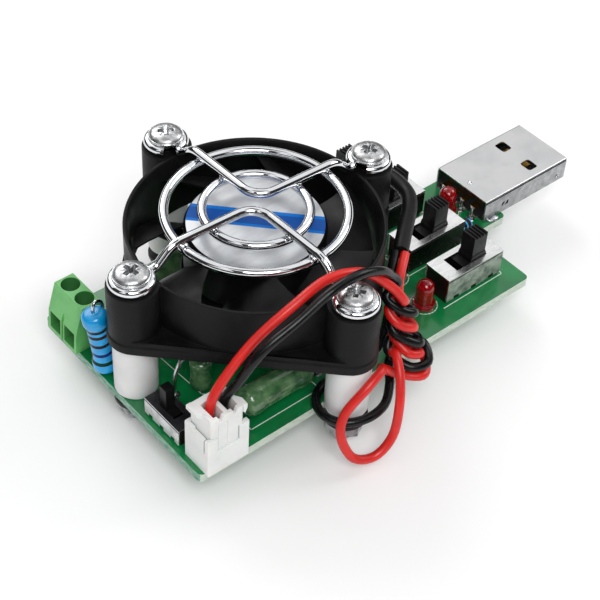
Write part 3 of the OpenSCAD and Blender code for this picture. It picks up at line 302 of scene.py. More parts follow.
def pick(*objects):
    """Selects these objects and nothing else. The first is the active one."""
    bpy.ops.object.select_all(action="DESELECT")
    for o in objects:
        o.select_set(True)
    bpy.context.view_layer.objects.active = objects[0]


def apply_place(o):
    pick(o)
    bpy.ops.object.transform_apply(location=True, rotation=True, scale=True)


def stand(o, place, tilt):
    """Turns a piece by tilt, in degrees, and moves its foot to place."""
    o.rotation_euler = [math.radians(a) for a in tilt]
    o.location = Vector(place) * MM
    apply_place(o)
    return o


def unite(parts, name=None):
    """Joins pieces to the first of them, which gets the name."""
    pick(*parts)
    bpy.ops.object.join()
    o = bpy.context.object
    if name:
        o.name = name
    return o


def dress(o, *names):
    """Gives a piece its finishes, of which faces take the first unless told otherwise."""
    o.data.materials.clear()
    for name in names:
        o.data.materials.append(FINISHES[name])
    return o


def put_on(o, slot, *nodes, body=ROOT):
    """A finished piece rides on its body and may stand for CAD nodes. Its slot is not used."""
    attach(o, body)
    if nodes:
        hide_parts(*nodes)
    return o


def add_modifier(o, kind, **settings):
    """Adds a modifier and applies it."""
    pick(o)
    made = o.modifiers.new(kind.lower(), kind)
    for key, value in settings.items():
        setattr(made, key, value)
    bpy.ops.object.modifier_apply(modifier=made.name)


def soften(o, width=0.0, limit=32):
    """Rounds the edges sharper than limit by a width in mm and smooths what is nearly flat."""
    if width:
        add_modifier(o, "BEVEL", width=width * MM, segments=2, limit_method="ANGLE",
                     angle_limit=math.radians(limit), use_clamp_overlap=False)
    pick(o)
    bpy.ops.object.shade_smooth_by_angle(angle=math.radians(max(limit, 40)))
    add_modifier(o, "WEIGHTED_NORMAL", keep_sharp=True, weight=80)
    return o


def cut(o, *tools):
    """Takes the tools' shapes out of o and deletes them."""
    for tool in tools:
        add_modifier(o, "BOOLEAN", object=tool, operation="DIFFERENCE", solver="EXACT")
        bpy.data.objects.remove(tool)
    return o


# SELECTION

def edit_all(o):
    """Edit mode on o with all of it selected."""
    pick(o)
    bpy.ops.object.mode_set(mode="EDIT")
    bpy.ops.mesh.select_all(action="SELECT")


def object_mode():
    bpy.ops.mesh.select_mode(type="VERT")
    bpy.ops.object.mode_set(mode="OBJECT")


def select_faces(o, test):
    """Edit mode on o with only the faces selected whose middle and normal pass the test."""
    pick(o)
    bpy.ops.object.mode_set(mode="EDIT")
    bpy.ops.mesh.select_mode(type="FACE")
    bpy.ops.mesh.select_all(action="DESELECT")
    mesh = bmesh.from_edit_mesh(o.data)
    mesh.faces.ensure_lookup_table()
    for face in mesh.faces:
        face.select_set(bool(test(face.calc_center_median() / MM, face.normal)))
    bmesh.update_edit_mesh(o.data)


def select_edges(o, test):
    """Edit mode on o with only the edges selected whose two ends, in mm, pass the test."""
    pick(o)
    bpy.ops.object.mode_set(mode="EDIT")
    bpy.ops.mesh.select_mode(type="EDGE")
    bpy.ops.mesh.select_all(action="DESELECT")
    mesh = bmesh.from_edit_mesh(o.data)
    for edge in mesh.edges:
        edge.select_set(bool(test(edge.verts[0].co / MM, edge.verts[1].co / MM)))
    bmesh.update_edit_mesh(o.data)


def give_faces(o, index, test):
    """Gives the faces that pass the test the finish of that index."""
    for face in o.data.polygons:
        if test(face.center / MM, face.normal):
            face.material_index = index


# SHAPES

def copy_node(node, *names):
    """A merged copy of a CAD node's mesh, whose flat faces are whole again."""
    o = bpy.data.objects.new(node + "_skin", frame["nodes"][node].data.copy())
    bpy.context.collection.objects.link(o)
    edit_all(o)
    bpy.ops.mesh.customdata_custom_splitnormals_clear()
    bpy.ops.mesh.remove_doubles(threshold=0.002 * MM)
    bpy.ops.mesh.dissolve_limited(angle_limit=math.radians(0.5))
    object_mode()
    return dress(o, *names)


def skin(node, slot, name, width=0.0, limit=32, body=ROOT):
    """A softened copy of a CAD node, in the finish of that name, stands for it."""
    return put_on(soften(copy_node(node, name), width, limit), slot, node, body=body)


def add_box(name, low, high):
    """A box between two corners in mm."""
    low, high = Vector(low), Vector(high)
    bpy.ops.mesh.primitive_cube_add(size=1, location=(low + high) / 2 * MM)
    o = bpy.context.object
    o.name = name
    o.scale = (high - low) * MM
    apply_place(o)
    return o


def rounded_box(name, low, high, axis, width):
    """A box whose four edges along an axis are rounded."""
    o = add_box(name, low, high)
    others = [k for k in range(3) if k != axis]
    select_edges(o, lambda a, b: all(abs(a[k] - b[k]) < 0.01 for k in others))
    bpy.ops.mesh.bevel(offset=width * MM, segments=4, affect="EDGES")
    object_mode()
    return o


def taper(o, across, along, side=-1):
    """Scales a box's lower face, or with side=1 its upper one, about its middle."""
    select_faces(o, lambda c, n: n.z * side > 0.9)
    bpy.ops.transform.resize(value=(across, along, 1))
    object_mode()
    return o


def add_rod(name, place, radius, height):
    """A rod from its foot's middle, in mm."""
    bpy.ops.mesh.primitive_cylinder_add(vertices=24, radius=radius * MM, depth=height * MM,
                                        location=(0, 0, height / 2 * MM))
    o = bpy.context.object
    o.name = name
    apply_place(o)
    return stand(o, place, (0, 0, 0))


def add_ball(place, radius, segments, rings):
    bpy.ops.mesh.primitive_uv_sphere_add(segments=segments, ring_count=rings, radius=radius * MM,
                                         location=Vector(place) * MM)
    return bpy.context.object


def trace(name, points):
    """Edit mode on a new chain of edges through points in mm, with all of it selected."""
    bpy.ops.mesh.primitive_plane_add(size=MM, location=(0, 0, 0))
    o = bpy.context.object
    o.name = name
    edit_all(o)
    bpy.ops.mesh.merge(type="CENTER")
    here = Vector((0, 0, 0))
    for i, point in enumerate(points):
        there = Vector(point) * MM
        if i == 0:
            bpy.ops.transform.translate(value=there)
        else:
            bpy.ops.mesh.extrude_vertices_move(TRANSFORM_OT_translate={"value": there - here})
        here = there
    bpy.ops.mesh.select_all(action="SELECT")
    return o


def lathe(name, profile, steps=48):
    """A profile of (radius, height) pairs in mm, spun round the Z axis."""
    o = trace(name, [(radius, 0, height) for radius, height in profile])
    bpy.ops.mesh.spin(steps=steps, angle=math.tau, center=(0, 0, 0), axis=(0, 0, 1))
    bpy.ops.mesh.select_all(action="SELECT")
    bpy.ops.mesh.remove_doubles(threshold=0.001 * MM)
    bpy.ops.mesh.normals_make_consistent(inside=False)
    object_mode()
    return o


def slab(name, corners, low, high):
    """A flat outline in mm, as a solid between two heights."""
    o = trace(name, [(x, y, low) for x, y in corners])
    bpy.ops.mesh.edge_face_add()
    bpy.ops.mesh.extrude_region_move(TRANSFORM_OT_translate={"value": (0, 0, (high - low) * MM)})
    bpy.ops.mesh.select_all(action="SELECT")
    bpy.ops.mesh.normals_make_consistent(inside=False)
    object_mode()
    return o


def add_curve(name, points, radius, resolution, closed=False):
    """A round curve through points in mm."""
    data = bpy.data.curves.new(name, "CURVE")
    data.dimensions = "3D"
    data.bevel_depth = radius * MM
    data.bevel_resolution = resolution
    data.use_fill_caps = True
    spline = data.splines.new("POLY")
    spline.points.add(len(points) - 1)
    for point, place in zip(spline.points, points):
        point.co = (*(Vector(place) * MM), 1)
    spline.use_cyclic_u = closed
    o = bpy.data.objects.new(name, data)
    bpy.context.collection.objects.link(o)
    return o


def bent_wire(name, points, radius, closed=False):
    """A round wire through points in mm, as a mesh."""
    pick(add_curve(name, points, radius, 4, closed))
    bpy.ops.object.convert(target="MESH")
    return bpy.context.object


def rounded_route(route, steps=5):
    """Points on one smooth line through the route's points."""
    points = [Vector(p) for p in route]
    ends = [points[0] * 2 - points[1], *points, points[-1] * 2 - points[-2]]
    line = []
    for a, b, c, d in zip(ends, ends[1:], ends[2:], ends[3:]):
        for k in range(steps):
            t = k / steps
            line.append(0.5 * (2 * b + (c - a) * t + (2 * a - 5 * b + 4 * c - d) * t ** 2
                               + (3 * b - a - 3 * c + d) * t ** 3))
    return line + [points[-1]]


def arc(x, y, z, radius, start, end, steps):
    """Points on an arc between two angles in degrees."""
    angles = [math.radians(start + (end - start) * k / steps) for k in range(steps + 1)]
    return [(x + radius * math.cos(a), y + radius * math.sin(a), z) for a in angles]


# CORDS: the routes of the CAD model, in mm

WIRE_R = 0.74
SLEEVE_R = 1.25
PLUG_RED = (-22.6, -18.025)
PLUG_BLACK = (-20.1, -18.025)
RED_ROUTE = [
    (*PLUG_RED, 12.8), (-22.4, -18, 17.6),
    (-20.4, -17.8, 20.9), (-14.8, -17.9, 25.9), (-8.2, -18.9, 30.2), (-2, -18.8, 31.5),
    (3.8, -19.9, 30.2), (7.4, -22, 27), (9.2, -23.5, 24), (9.9, -21.2, 22.6), (8, -21.6, 21.4),
    (8.3, -23.8, 20), (10.7, -24.6, 18.4), (11.6, -22.5, 17.4), (9, -22.1, 16.4),
    (9.2, -25.4, 14.7), (11.4, -26, 13.5), (12, -23.9, 12.6), (9.5, -22.9, 13.2),
    (7.2, -24.2, 15), (6.8, -25.4, 15.6), (5.6, -27.8, 13.8), (4.2, -29.7, 10), (2.6, -30.58, 5),
    (-0.6, -30.4, 2.4), (-4, -29.2, 3.4), (-5.2, -27.4, 7.4), (-3.9, -26.5, 10.8),
    (-0.6, -27.1, 14.6), (3, -26.4, 15.6), (5.2, -24.4, 13), (8, -25.6, 10.8),
    (11, -27.5, 10.2), (13.3, -25.6, 10.4), (14, -21.8, 13), (13, -19.7, 16.2),
    (13.1, -18.4, 21.2), (17.1, -15.2, 23)]
BLACK_ROUTE = [
    (*PLUG_BLACK, 12.8), (-19.9, -18.1, 17.6),
    (-18, -18.9, 20.8), (-14.6, -20.2, 26.2), (-9, -20.7, 28.8), (-3.6, -21.2, 31.7),
    (1.4, -21.4, 32.25), (6, -21.3, 30.3), (8.5, -21, 27.6), (9.7, -21.2, 25.7), (7.6, -21.3, 24),
    (8.8, -23.6, 22.4), (10.8, -24.2, 21.2), (11.4, -22.2, 20.2), (8.9, -21.6, 19.2),
    (8.3, -23.5, 17.6), (11.1, -25.7, 15.6), (12.4, -23.8, 14.9), (10.2, -21.6, 15.2),
    (8.2, -22.3, 13.3), (9.2, -26.2, 12.2), (12.2, -27.1, 12.1), (13.4, -24.6, 13.4),
    (12.6, -22.4, 12), (9, -22.2, 11), (6.6, -25, 9.2), (3.8, -27, 8), (0, -27.3, 7.8),
    (-3.4, -25.7, 7.8), (-4.7, -22.6, 7.8), (-3.4, -19.5, 7.8), (0, -18, 7.8), (4, -19, 8.2),
    (8.6, -19.8, 11.4), (11.6, -18.4, 16.4), (12.6, -16.9, 20.8), (16.2, -14, 23)]
SLEEVE_ROUTE = [
    (16.7, -14.6, 23), (20.8, -11.2, 22.9), (24.6, -8.1, 22.7), (27.1, -5.3, 22.5), (28.3, -1.6, 22.2),
    (28.2, 1.8, 21.8), (26.8, 5, 21.2), (24.8, 7.4, 20.1), (22.4, 8.6, 19.2), (18.3, 7.02, 18.8)]


def add_cord(node, route, radius, finish_name):
    """A cord as one curve that stands for its CAD node. Its length is in metres."""
    line = rounded_route(route)
    o = add_curve(node + "_cord", line, radius, 5)
    o.data.materials.append(FINISHES[finish_name])
    put_on(o, finish_name, node)


add_cord("fan_wire_red", RED_ROUTE, WIRE_R, "wire_red")
add_cord("fan_wire_black", BLACK_ROUTE, WIRE_R, "wire_black")
add_cord("wire_sleeve", SLEEVE_ROUTE, SLEEVE_R, "sleeve_black")


# STAGE

def add_floor():
    bpy.ops.mesh.primitive_plane_add(size=0.9, location=(0, 0, 0))
    floor = bpy.context.object
    floor.name = "floor"
    ground = bpy.data.materials.new("floor_white")
    ground.use_nodes = True
    shader = ground.node_tree.nodes["Principled BSDF"]
    shader.inputs["Base Color"].default_value = (0.93, 0.93, 0.93, 1)
    shader.inputs["Roughness"].default_value = 0.9
    shader.inputs["Specular IOR Level"].default_value = 0.1
    floor.data.materials.append(ground)


def add_room():
    """A white room that is dimmer as light than as it is seen or mirrored."""
    world = bpy.data.worlds.new("studio")
    bpy.context.scene.world = world
    world.use_nodes = True
    tree = world.node_tree
    sky = tree.nodes["Background"]
    sky.inputs["Color"].default_value = (1, 1, 1, 1)
    paths = add_node(tree, "LightPath")
    seen = paths.outputs["Is Camera Ray"]
    for ray in ("Is Glossy Ray", "Is Transmission Ray"):
        either = add_node(tree, "Math", operation="MAXIMUM")
        tree.links.new(seen, either.inputs[0])
        link(tree, paths, ray, either, 1)
        seen = either.outputs[0]
    strength = add_node(tree, "MapRange")
    strength.inputs["To Min"].default_value = 0.55
    strength.inputs["To Max"].default_value = 1.0
    tree.links.new(seen, strength.inputs["Value"])
    link(tree, strength, "Result", sky, "Strength")


def add_lamps():
    """Three soft lamps, in metres and watts, that face the tester."""
    middle = Vector((0, 0, 0.015))
    for name, place, size, power in (("key_lamp", (-0.25, -0.42, 0.62), 0.42, 3.0),
                                     ("fill_lamp", (0.62, -0.18, 0.42), 0.4, 1.2),
                                     ("back_lamp", (0.1, 0.6, 0.5), 0.5, 1.8)):
        data = bpy.data.lights.new(name, "AREA")
        data.shape = "DISK"
        data.size = size
        data.energy = power
        lamp = bpy.data.objects.new(name, data)
        bpy.context.collection.objects.link(lamp)
        lamp.location = place
        lamp.rotation_euler = (middle - Vector(place)).to_track_quat("-Z", "Y").to_euler()


def add_flags():
    """Dark cards all round that only show in polished metal. Sizes are in metres."""
    black = bpy.data.materials.new("flag_black")
    black.use_nodes = True
    black.node_tree.nodes["Principled BSDF"].inputs["Base Color"].default_value = (0.01, 0.01, 0.01, 1)
    ring_r, ring_z, ring_size = 1.3, 0.3, 0.7
    cards = [((*place[:2], ring_z), ring_size) for place in arc(0, 0, 0, ring_r, 0, 330, 11)]
    cards += [((-0.62, -0.68, 1.0), 0.85), ((0.35, -0.95, 0.9), 0.8), ((-0.95, 0.35, 0.9), 0.8),
              ((0, 0, 1.35), 0.6)]
    for place, size in cards:
        bpy.ops.mesh.primitive_plane_add(size=size, location=place)
        card = bpy.context.object
        card.name = "flag"
        card.rotation_euler = (-Vector(place)).to_track_quat("Z", "Y").to_euler()
        card.data.materials.append(black)
        card.visible_camera = False
        card.visible_diffuse = False
        card.visible_shadow = False
        card.visible_transmission = False


add_floor()
add_room()
add_lamps()
add_flags()


# BOARD

# Every lead through the board: its place and radius in mm
LEADS = ([(SWITCH_X + k * 4, y, 0.4) for y in SWITCH_ROWS for k in (-1, 0, 1)]
         + [(-23.2, -9.8 + k * 2.5, 0.3) for k in (-1, 0, 1)]
         + [(x, y + k * 1.27, 0.25) for x, y in LAMPS.values() for k in (-1, 1)]
         + [(45.5, y, 0.3) for y in (-3.5, -1, 1, 3.5)]
         + [(39.7, -8.6, 0.25), (44.6, -4, 0.25)]
         + [(x + k * 8.5, y, 0.35) for x, y in LYING_LOADS for k in (-1, 1)]
         + [(*STANDING_LOAD, 0.35), (-19.4, -5.4, 0.35), (-24.6, 5.2, 0.35), (-22.3, 5, 0.35)])


def add_board():
    board = copy_node("circuit_board", "mask_green", "board_edge", "board_rim")
    give_faces(board, 1, lambda c, n: abs(n.z) < 0.5)
    # The near edge, facing -Y, gets painted light
    give_faces(board, 2, lambda c, n: n.y < -0.6)
    put_on(soften(board), "board", "circuit_board")


def add_pads():
    """A flat tinned ring round every lead on the board's top."""
    clearance, width, height = 0.12, 0.38, 0.03
    rings = []
    for x, y, r in LEADS:
        inner, outer = r + clearance, r + clearance + width
        ring = lathe("pad", [(inner, 0), (inner, height), (outer, height), (outer, 0)], 20)
        ring.location = Vector((x, y, BOARD_TOP + 0.001)) * MM
        rings.append(ring)
    bpy.context.view_layer.update()
    pads = unite(rings, "board_pads")
    apply_place(pads)
    put_on(soften(dress(pads, "pad_tin")), "board")


add_board()
add_pads()


# PLAIN SKINS: nodes whose CAD shape is right, with softened edges

def add_terminal_housing():
    """The green block, with painted shade inside its screw wells and its wire entries."""
    room, entry = 1.255, 1.35
    housing = copy_node("terminal_housing", "terminal_green", "terminal_deep")
    for pole in TERMINAL_POLES:
        # The clamp's room gets as wide as the wire entry, since a thin step between them folds over
        select_faces(housing, lambda c, n: abs(abs(c.y - pole) - room) < 0.02 and abs(n.y) > 0.9)
        bpy.ops.transform.resize(value=(1, entry / room, 1), center_override=(0, pole * MM, 0))
        bpy.ops.mesh.select_all(action="SELECT")
        bpy.ops.mesh.remove_doubles(threshold=0.01 * MM)
        bpy.ops.mesh.dissolve_degenerate(threshold=0.02 * MM)
        bpy.ops.mesh.dissolve_limited(angle_limit=math.radians(0.5))
        object_mode()
        well = Vector((TERMINAL_X, pole))
        # Painted shade inside the well and the wire entry
        give_faces(housing, 1, lambda c, n: (c.xy - well).length < 1.55 and abs(n.z) < 0.5)
        give_faces(housing, 1, lambda c, n: -26.5 < c.x < -21 and abs(c.y - pole) < 1.4
                   and c.z < BOARD_TOP + 4.5 and abs(n.x) < 0.5)
    put_on(soften(housing, 0.08), "terminal_green", "terminal_housing")


for number in (1, 2, 3, 4):
    skin(f"switch_{number}_base", "switch_black", "switch_black", 0.06)
    skin(f"switch_{number}_slider", "knob_black", "knob_black", 0.08, body=f"slider_{number}")
skin("fan_switch_base", "switch_black", "switch_black", 0.05)
skin("fan_switch_slider", "knob_black", "knob_black", 0.06, body="fan_slider")
skin("usb_insulator", "plug_black", "plug_black", 0.06)
add_terminal_housing()
skin("fan_rotor", "rotor_black", "rotor_black", 0.0, 40, body="rotor")
skin("fan_spacers", "spacer_white", "spacer_white", 0.25)
skin("fan_washers", "washer_black", "washer_black", 0.1)
# The nuts in painted shade
skin("fan_nuts", "screw_steel", "nut_steel", 0.12)
for lead in ("switch_pins", "terminal_pins", "socket_pins", "plug_contacts"):
    skin(lead, "tinned_wire", "tinned_wire")
skin("solder_joints", "solder", "solder")
for number in (1, 2):
    skin(f"terminal_screw_{number}", "screw_steel", "screw_steel", 0.08, body=f"screw_{number}")
    skin(f"terminal_clamp_{number}", "plated_steel", "plated_steel", 0.15, body=f"clamp_{number}")
for node, name in (("fan_magnet", "magnet_grey"), ("fan_shaft", "steel"),
                   ("fan_bearing", "bronze"), ("fan_stator", "stator_steel"),
                   ("fan_circuit", "mask_green"), ("motor_leads", "wire_red")):
    dress(frame["nodes"][node], name)


# FAN FRAME

def add_fan_frame():
    """The frame, a little slimmer than the CAD one, with a foot that stands out."""
    foot, step, foot_out, slim = 1.6, 0.15, 0.18, 0.993
    shell = copy_node("fan_frame", "fan_black")
    for height in (foot, foot + step):
        edit_all(shell)
        bpy.ops.mesh.bisect(plane_co=(0, 0, (FAN_BASE + height) * MM), plane_no=(0, 0, 1))
        object_mode()
    for across in ((1, 0, 0), (0, 1, 0)):
        # The underside is split in four, since as one face it folds over where it is rounded
        select_faces(shell, lambda c, n: c.z < FAN_BASE + 0.1)
        bpy.ops.mesh.bisect(plane_co=(0, 0, 0), plane_no=across)
        object_mode()
    edit_all(shell)
    bpy.ops.transform.resize(value=(slim, slim, 1), center_override=(0, 0, 0))
    object_mode()
    select_faces(shell, lambda c, n: c.z < FAN_BASE + foot and abs(n.z) < 0.3
                 and c.xy.length > 19.2 and n.x * c.x + n.y * c.y > 0)
    bpy.ops.transform.shrink_fatten(value=foot_out * MM)
    object_mode()
    put_on(soften(shell, 0.2), "fan_black", "fan_frame")


add_fan_frame()


# SWITCH SHELLS

def add_switch_shell(node, side, *names):
    """A folded shell with a seam under its top on the two long sides, which face along side.

    The finishes are its own, the seam's painted shade, the long sides' painted light and shade and, where
    there is one, the top's painted dark reflection.
    """
    seam_depth, seam_high, seam_low = 0.14, 0.32, 0.5
    shell = copy_node(node, *names)
    low, high = (Vector(v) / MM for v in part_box(node))
    for edge in (low[side], high[side]):
        at, to = list(low - Vector((1, 1, 1))), list(high + Vector((1, 1, 1)))
        at[side], to[side] = edge - seam_depth, edge + seam_depth
        at[2], to[2] = high.z - seam_low, high.z - seam_high
        cut(shell, add_box("seam", at, to))
    middle = (low + high) / 2
    half = (high - low) / 2
    # Painted shade in the seam's groove
    give_faces(shell, 1, lambda c, n: high.z - seam_low - 0.01 < c.z < high.z - seam_high + 0.01
               and half[side] - 0.17 < abs(c[side] - middle[side]) < half[side] - 0.02)
    # Painted light and shade on the long sides
    give_faces(shell, 2, lambda c, n: abs(n.z) < 0.5 and abs(c[side] - middle[side]) > half[side] - 0.02)
    # The fan switch's top gets painted dark reflection
    if len(names) == 4:
        give_faces(shell, 3, lambda c, n: n.z > 0.9)
    put_on(soften(shell, 0.065, 40), "plated_steel", node)


# The outer switches' sides get painted reflection, the inner ones' painted shade
for number, side_painted_light in ((1, "switch_side"), (2, "switch_shade"), (3, "switch_shade"), (4, "switch_side")):
    add_switch_shell(f"switch_{number}_shell", 1, "switch_steel", "seam_dark", side_painted_light)
# The fan switch, with its sides in painted light and its top in painted dark reflection
add_switch_shell("fan_switch_shell", 0, "switch_steel", "seam_dark", "switch_tin", "switch_dark")


# RESISTORS

BANDED = ("resistor_blue", "band_black", "band_brown", "band_navy", "band_green")


def turned_resistor(name, radius, waist, length, cap, bands, *names):
    """A lacquered body along Z from its foot, thicker over its two caps.

    bands are the (height, finish index) of its rings of paint.
    """
    end_round = 0.5 * radius
    # Half a band's width, and how near its middle a face is part of it
    band_half, band_reach = 0.32, 0.25

    def at(height):
        """The radius at a height."""
        end = min(height, length - height)
        if end < end_round:
            return radius * (0.5 + 0.5 * math.sqrt(1 - (1 - end / end_round) ** 2))
        part = min(max((end - cap * 0.7) / (cap * 0.4), 0), 1)
        return radius - (radius - waist) * part * part * (3 - 2 * part)

    heights = [h * radius for h in (0.02, 0.08, 0.2, 0.35, 0.5)]
    heights += [cap * part for part in (0.7, 0.8, 0.9, 1.0, 1.1)]
    heights += [length - h for h in heights]
    heights += [h + way * band_half for h, _ in bands for way in (-1, 1)]
    profile = [(0, 0), *[(at(h), h) for h in sorted(heights)], (0, length)]
    o = dress(lathe(name, profile, 40), *names)
    for height, index in bands:
        give_faces(o, index, lambda c, n: abs(c.z - height) < band_reach)
    return o


def add_resistors():
    """The blue ones with their bands, and the green loads with their caps."""
    sense = turned_resistor("sense_resistor_body", 2, 1.65, 12.3, 2.7,
                            [(9.3, 1), (8.1, 2), (6.2, 1), (4.2, 3), (2.5, 4)], *BANDED)
    put_on(soften(stand(sense, (-24.5, 5.2, 7.5), (-3, -6, 0))), "resistor_blue", "sense_resistor")
    small = turned_resistor("lamp_resistor_body", 0.95, 0.83, 3.4, 1.1,
                            [(0.8, 4), (1.7, 1), (2.6, 2)], *BANDED)
    put_on(soften(stand(small, (40, -5.2, 8.1), (0, 90, 0))), "resistor_blue", "lamp_resistor")
    length = 12.6
    for number, (x, y) in enumerate(LYING_LOADS, 1):
        load = turned_resistor(f"load_resistor_{number}_body", 2.5, 2.33, length, 3.15, [], "resistor_green")
        stand(load, (x - length / 2, y, 9.8), (0, 90, 0))
        put_on(soften(load), "resistor_green", f"load_resistor_{number}")
    load = turned_resistor("load_resistor_4_body", 1.7, 1.58, 6, 2, [], "resistor_green")
    put_on(soften(stand(load, (*STANDING_LOAD, 7.5), (0, 0, 0))), "resistor_green", "load_resistor_4")


def add_component_leads():
    """The leads, with the tall resistor's one bent over its cap and down behind it."""
    leads = copy_node("component_leads", "tinned_wire")
    select_faces(leads, lambda c, n: c.x < -23 and 2 < c.y < 4.4 and c.z > BOARD_TOP + 4)
    bpy.ops.mesh.select_linked()
    bpy.ops.mesh.delete(type="VERT")
    object_mode()
    bends = [(-25.85, 5.83, 18.8), (-25.8, 5.85, 20.6), (-25.3, 6, 21.3), (-24.4, 6.25, 20.9),
             (-23.7, 6.6, 19.5), (-23.4, 6.8, 17), (-22.9, 6.2, 12), (-22.3, 5, 9), (-22.3, 5, 4.2)]
    bent = dress(bent_wire("bent_lead", rounded_route(bends, 3), 0.28), "tinned_wire")
    put_on(soften(unite([leads, bent])), "tinned_wire", "component_leads")


add_resistors()
add_component_leads()


# LAMPS

def add_lamp(node, x, y):
    """A red lens with painted shade at its foot, and the two lead frames inside it."""
    bulb = copy_node(node, "lens_red", "lens_deep")
    # Painted shade on the lens's foot
    give_faces(bulb, 1, lambda c, n: c.z < BOARD_TOP + 1.6)
    put_on(soften(bulb, 0.12), "red_lens", node)
    foot = BOARD_TOP + 0.9
    thin = add_box(node + "_posts", (x - 0.2, y + 0.45, foot), (x + 0.2, y + 0.85, foot + 2.5))
    wide = add_box("anvil", (x - 0.35, y - 0.95, foot), (x + 0.35, y - 0.35, foot + 2.2))
    put_on(soften(dress(unite([thin, wide]), "tinned_wire"), 0.08), "tinned_wire")


for lamp_node, (lamp_x, lamp_y) in LAMPS.items():
    add_lamp(lamp_node, lamp_x, lamp_y)


# FAN SCREWS

HEAD_LOW = 29.7
SHANK_R = 1.5
THREAD_PITCH = 0.5


def add_fan_screws():
    """Long screws with a thread at the foot and a low cross head."""
    thread = [(r, 0.3 + THREAD_PITCH * k + rise) for k in range(15)
              for r, rise in ((1.28, 0), (SHANK_R, 0.2), (SHANK_R, 0.3))]
    head = [(SHANK_R, 29.6), (1.55, HEAD_LOW), (2.78, HEAD_LOW), (2.88, 29.76), (2.9, 29.86), (2.9, 30.04),
            (2.86, 30.12), (2.76, 30.16), (2.7, 30.13), (2.66, 30.2), (2.6, 30.34), (2.42, 30.54),
            (2.1, 30.72), (1.6, 30.87), (1, 30.96), (0, 31)]
    screw = lathe("fan_screw", [(0, 0), (1.1, 0), (1.28, 0.25), *thread, (SHANK_R, 8), *head], 56)
    arms = [taper(add_box("cross", (-1.5, -0.42, HEAD_LOW), (1.5, 0.42, 31.3)), 0.4, 0.6),
            taper(add_box("cross", (-0.42, -1.5, HEAD_LOW), (0.42, 1.5, 31.3)), 0.6, 0.4)]
    for turn in (45, 135):
        mark = add_box("mark", (-1.5, -0.07, 30.84), (1.5, 0.07, 31.2))
        arms.append(stand(mark, (0, 0, 0), (0, 0, turn)))
    dress(screw, "screw_steel", "head_steel", "recess_painted_shade")
    cut(screw, *arms)
    give_faces(screw, 1, lambda c, n: c.z > 30.25 and n.z > 0.2)
    # The cross recess gets painted shade
    give_faces(screw, 2, lambda c, n: HEAD_LOW - 0.1 < c.z < 30.8 and c.xy.length < 1.45)
    soften(screw, 0.05, 40)
    screws = []
    for (x, y), turn in zip(BOLTS, (20, 62, 12, 38)):
        twin = bpy.data.objects.new("fan_screw", screw.data.copy())
        bpy.context.collection.objects.link(twin)
        screws.append(stand(twin, (x, y, 0), (0, 0, turn)))
    bpy.data.objects.remove(screw)
    put_on(unite(screws, "fan_cross_screws"), "screw_steel", "fan_screws")


add_fan_screws()


# FINGER GUARD

GUARD_TOP = 31.7
GUARD_LOW = FAN_TOP + 0.75
GUARD_RINGS = (13.8, 8.1)
GUARD_WIRE_R = 0.75
EYE_R = 2.85


def eased(points, ease, steps=6):
    """The points with every corner rounded."""
    points = [Vector(p) for p in points]
    line = [points[0]]
    for before, corner, after in zip(points, points[1:], points[2:]):
        reach = min(ease, (corner - before).length / 2, (after - corner).length / 2)
        a = corner + (before - corner).normalized() * reach
        b = corner + (after - corner).normalized() * reach
        line += [a.lerp(corner, k / steps).lerp(corner.lerp(b, k / steps), k / steps)
                 for k in range(steps + 1)]
    return line + [points[-1]]


def add_guard():
    """Two rings under two wires that cross them, bent at the middle, with an eye at each end."""
    leg = eased([(-5, -0.37, GUARD_TOP), (-15.4, 0, GUARD_TOP), (-18.3, 0, GUARD_LOW),
                 (-BOLT_R + EYE_R, 0, GUARD_LOW)], 1.4)
    eye = arc(-BOLT_R, 0, GUARD_LOW, EYE_R, 0, -318, 54)
    half = list(reversed(eye)) + list(reversed(leg))
    bend = arc(-3.909, -3.909, GUARD_TOP, 3.5, 87.8, 2.2, 16)
    near = half + bend + [(y, x, z) for x, y, z in reversed(half)]
    far = [(-x, -y, z) for x, y, z in near]
    parts = [bent_wire("guard_wire", near, GUARD_WIRE_R), bent_wire("guard_wire", far, GUARD_WIRE_R)]
    for radius in GUARD_RINGS:
        ring = arc(0, 0, GUARD_TOP - 1.4, radius, 0, 360, 120)[:-1]
        parts.append(bent_wire("guard_ring", ring, GUARD_WIRE_R, closed=True))
        for turn in (1.5, 88.5, 181.5, 268.5):
            # A squeezed bead of weld at every crossing
            a = math.radians(turn)
            bead = add_ball((radius * math.cos(a), radius * math.sin(a), GUARD_TOP - 0.7), 0.62, 16, 10)
            bead.scale = (1.25, 1.25, 0.8)
            apply_place(bead)
            parts.append(bead)
    guard = unite(parts, "finger_guard_wires")
    put_on(soften(dress(guard, "chrome"), 0.0, 50), "guard_wire", "finger_guard")


add_guard()


# LABEL

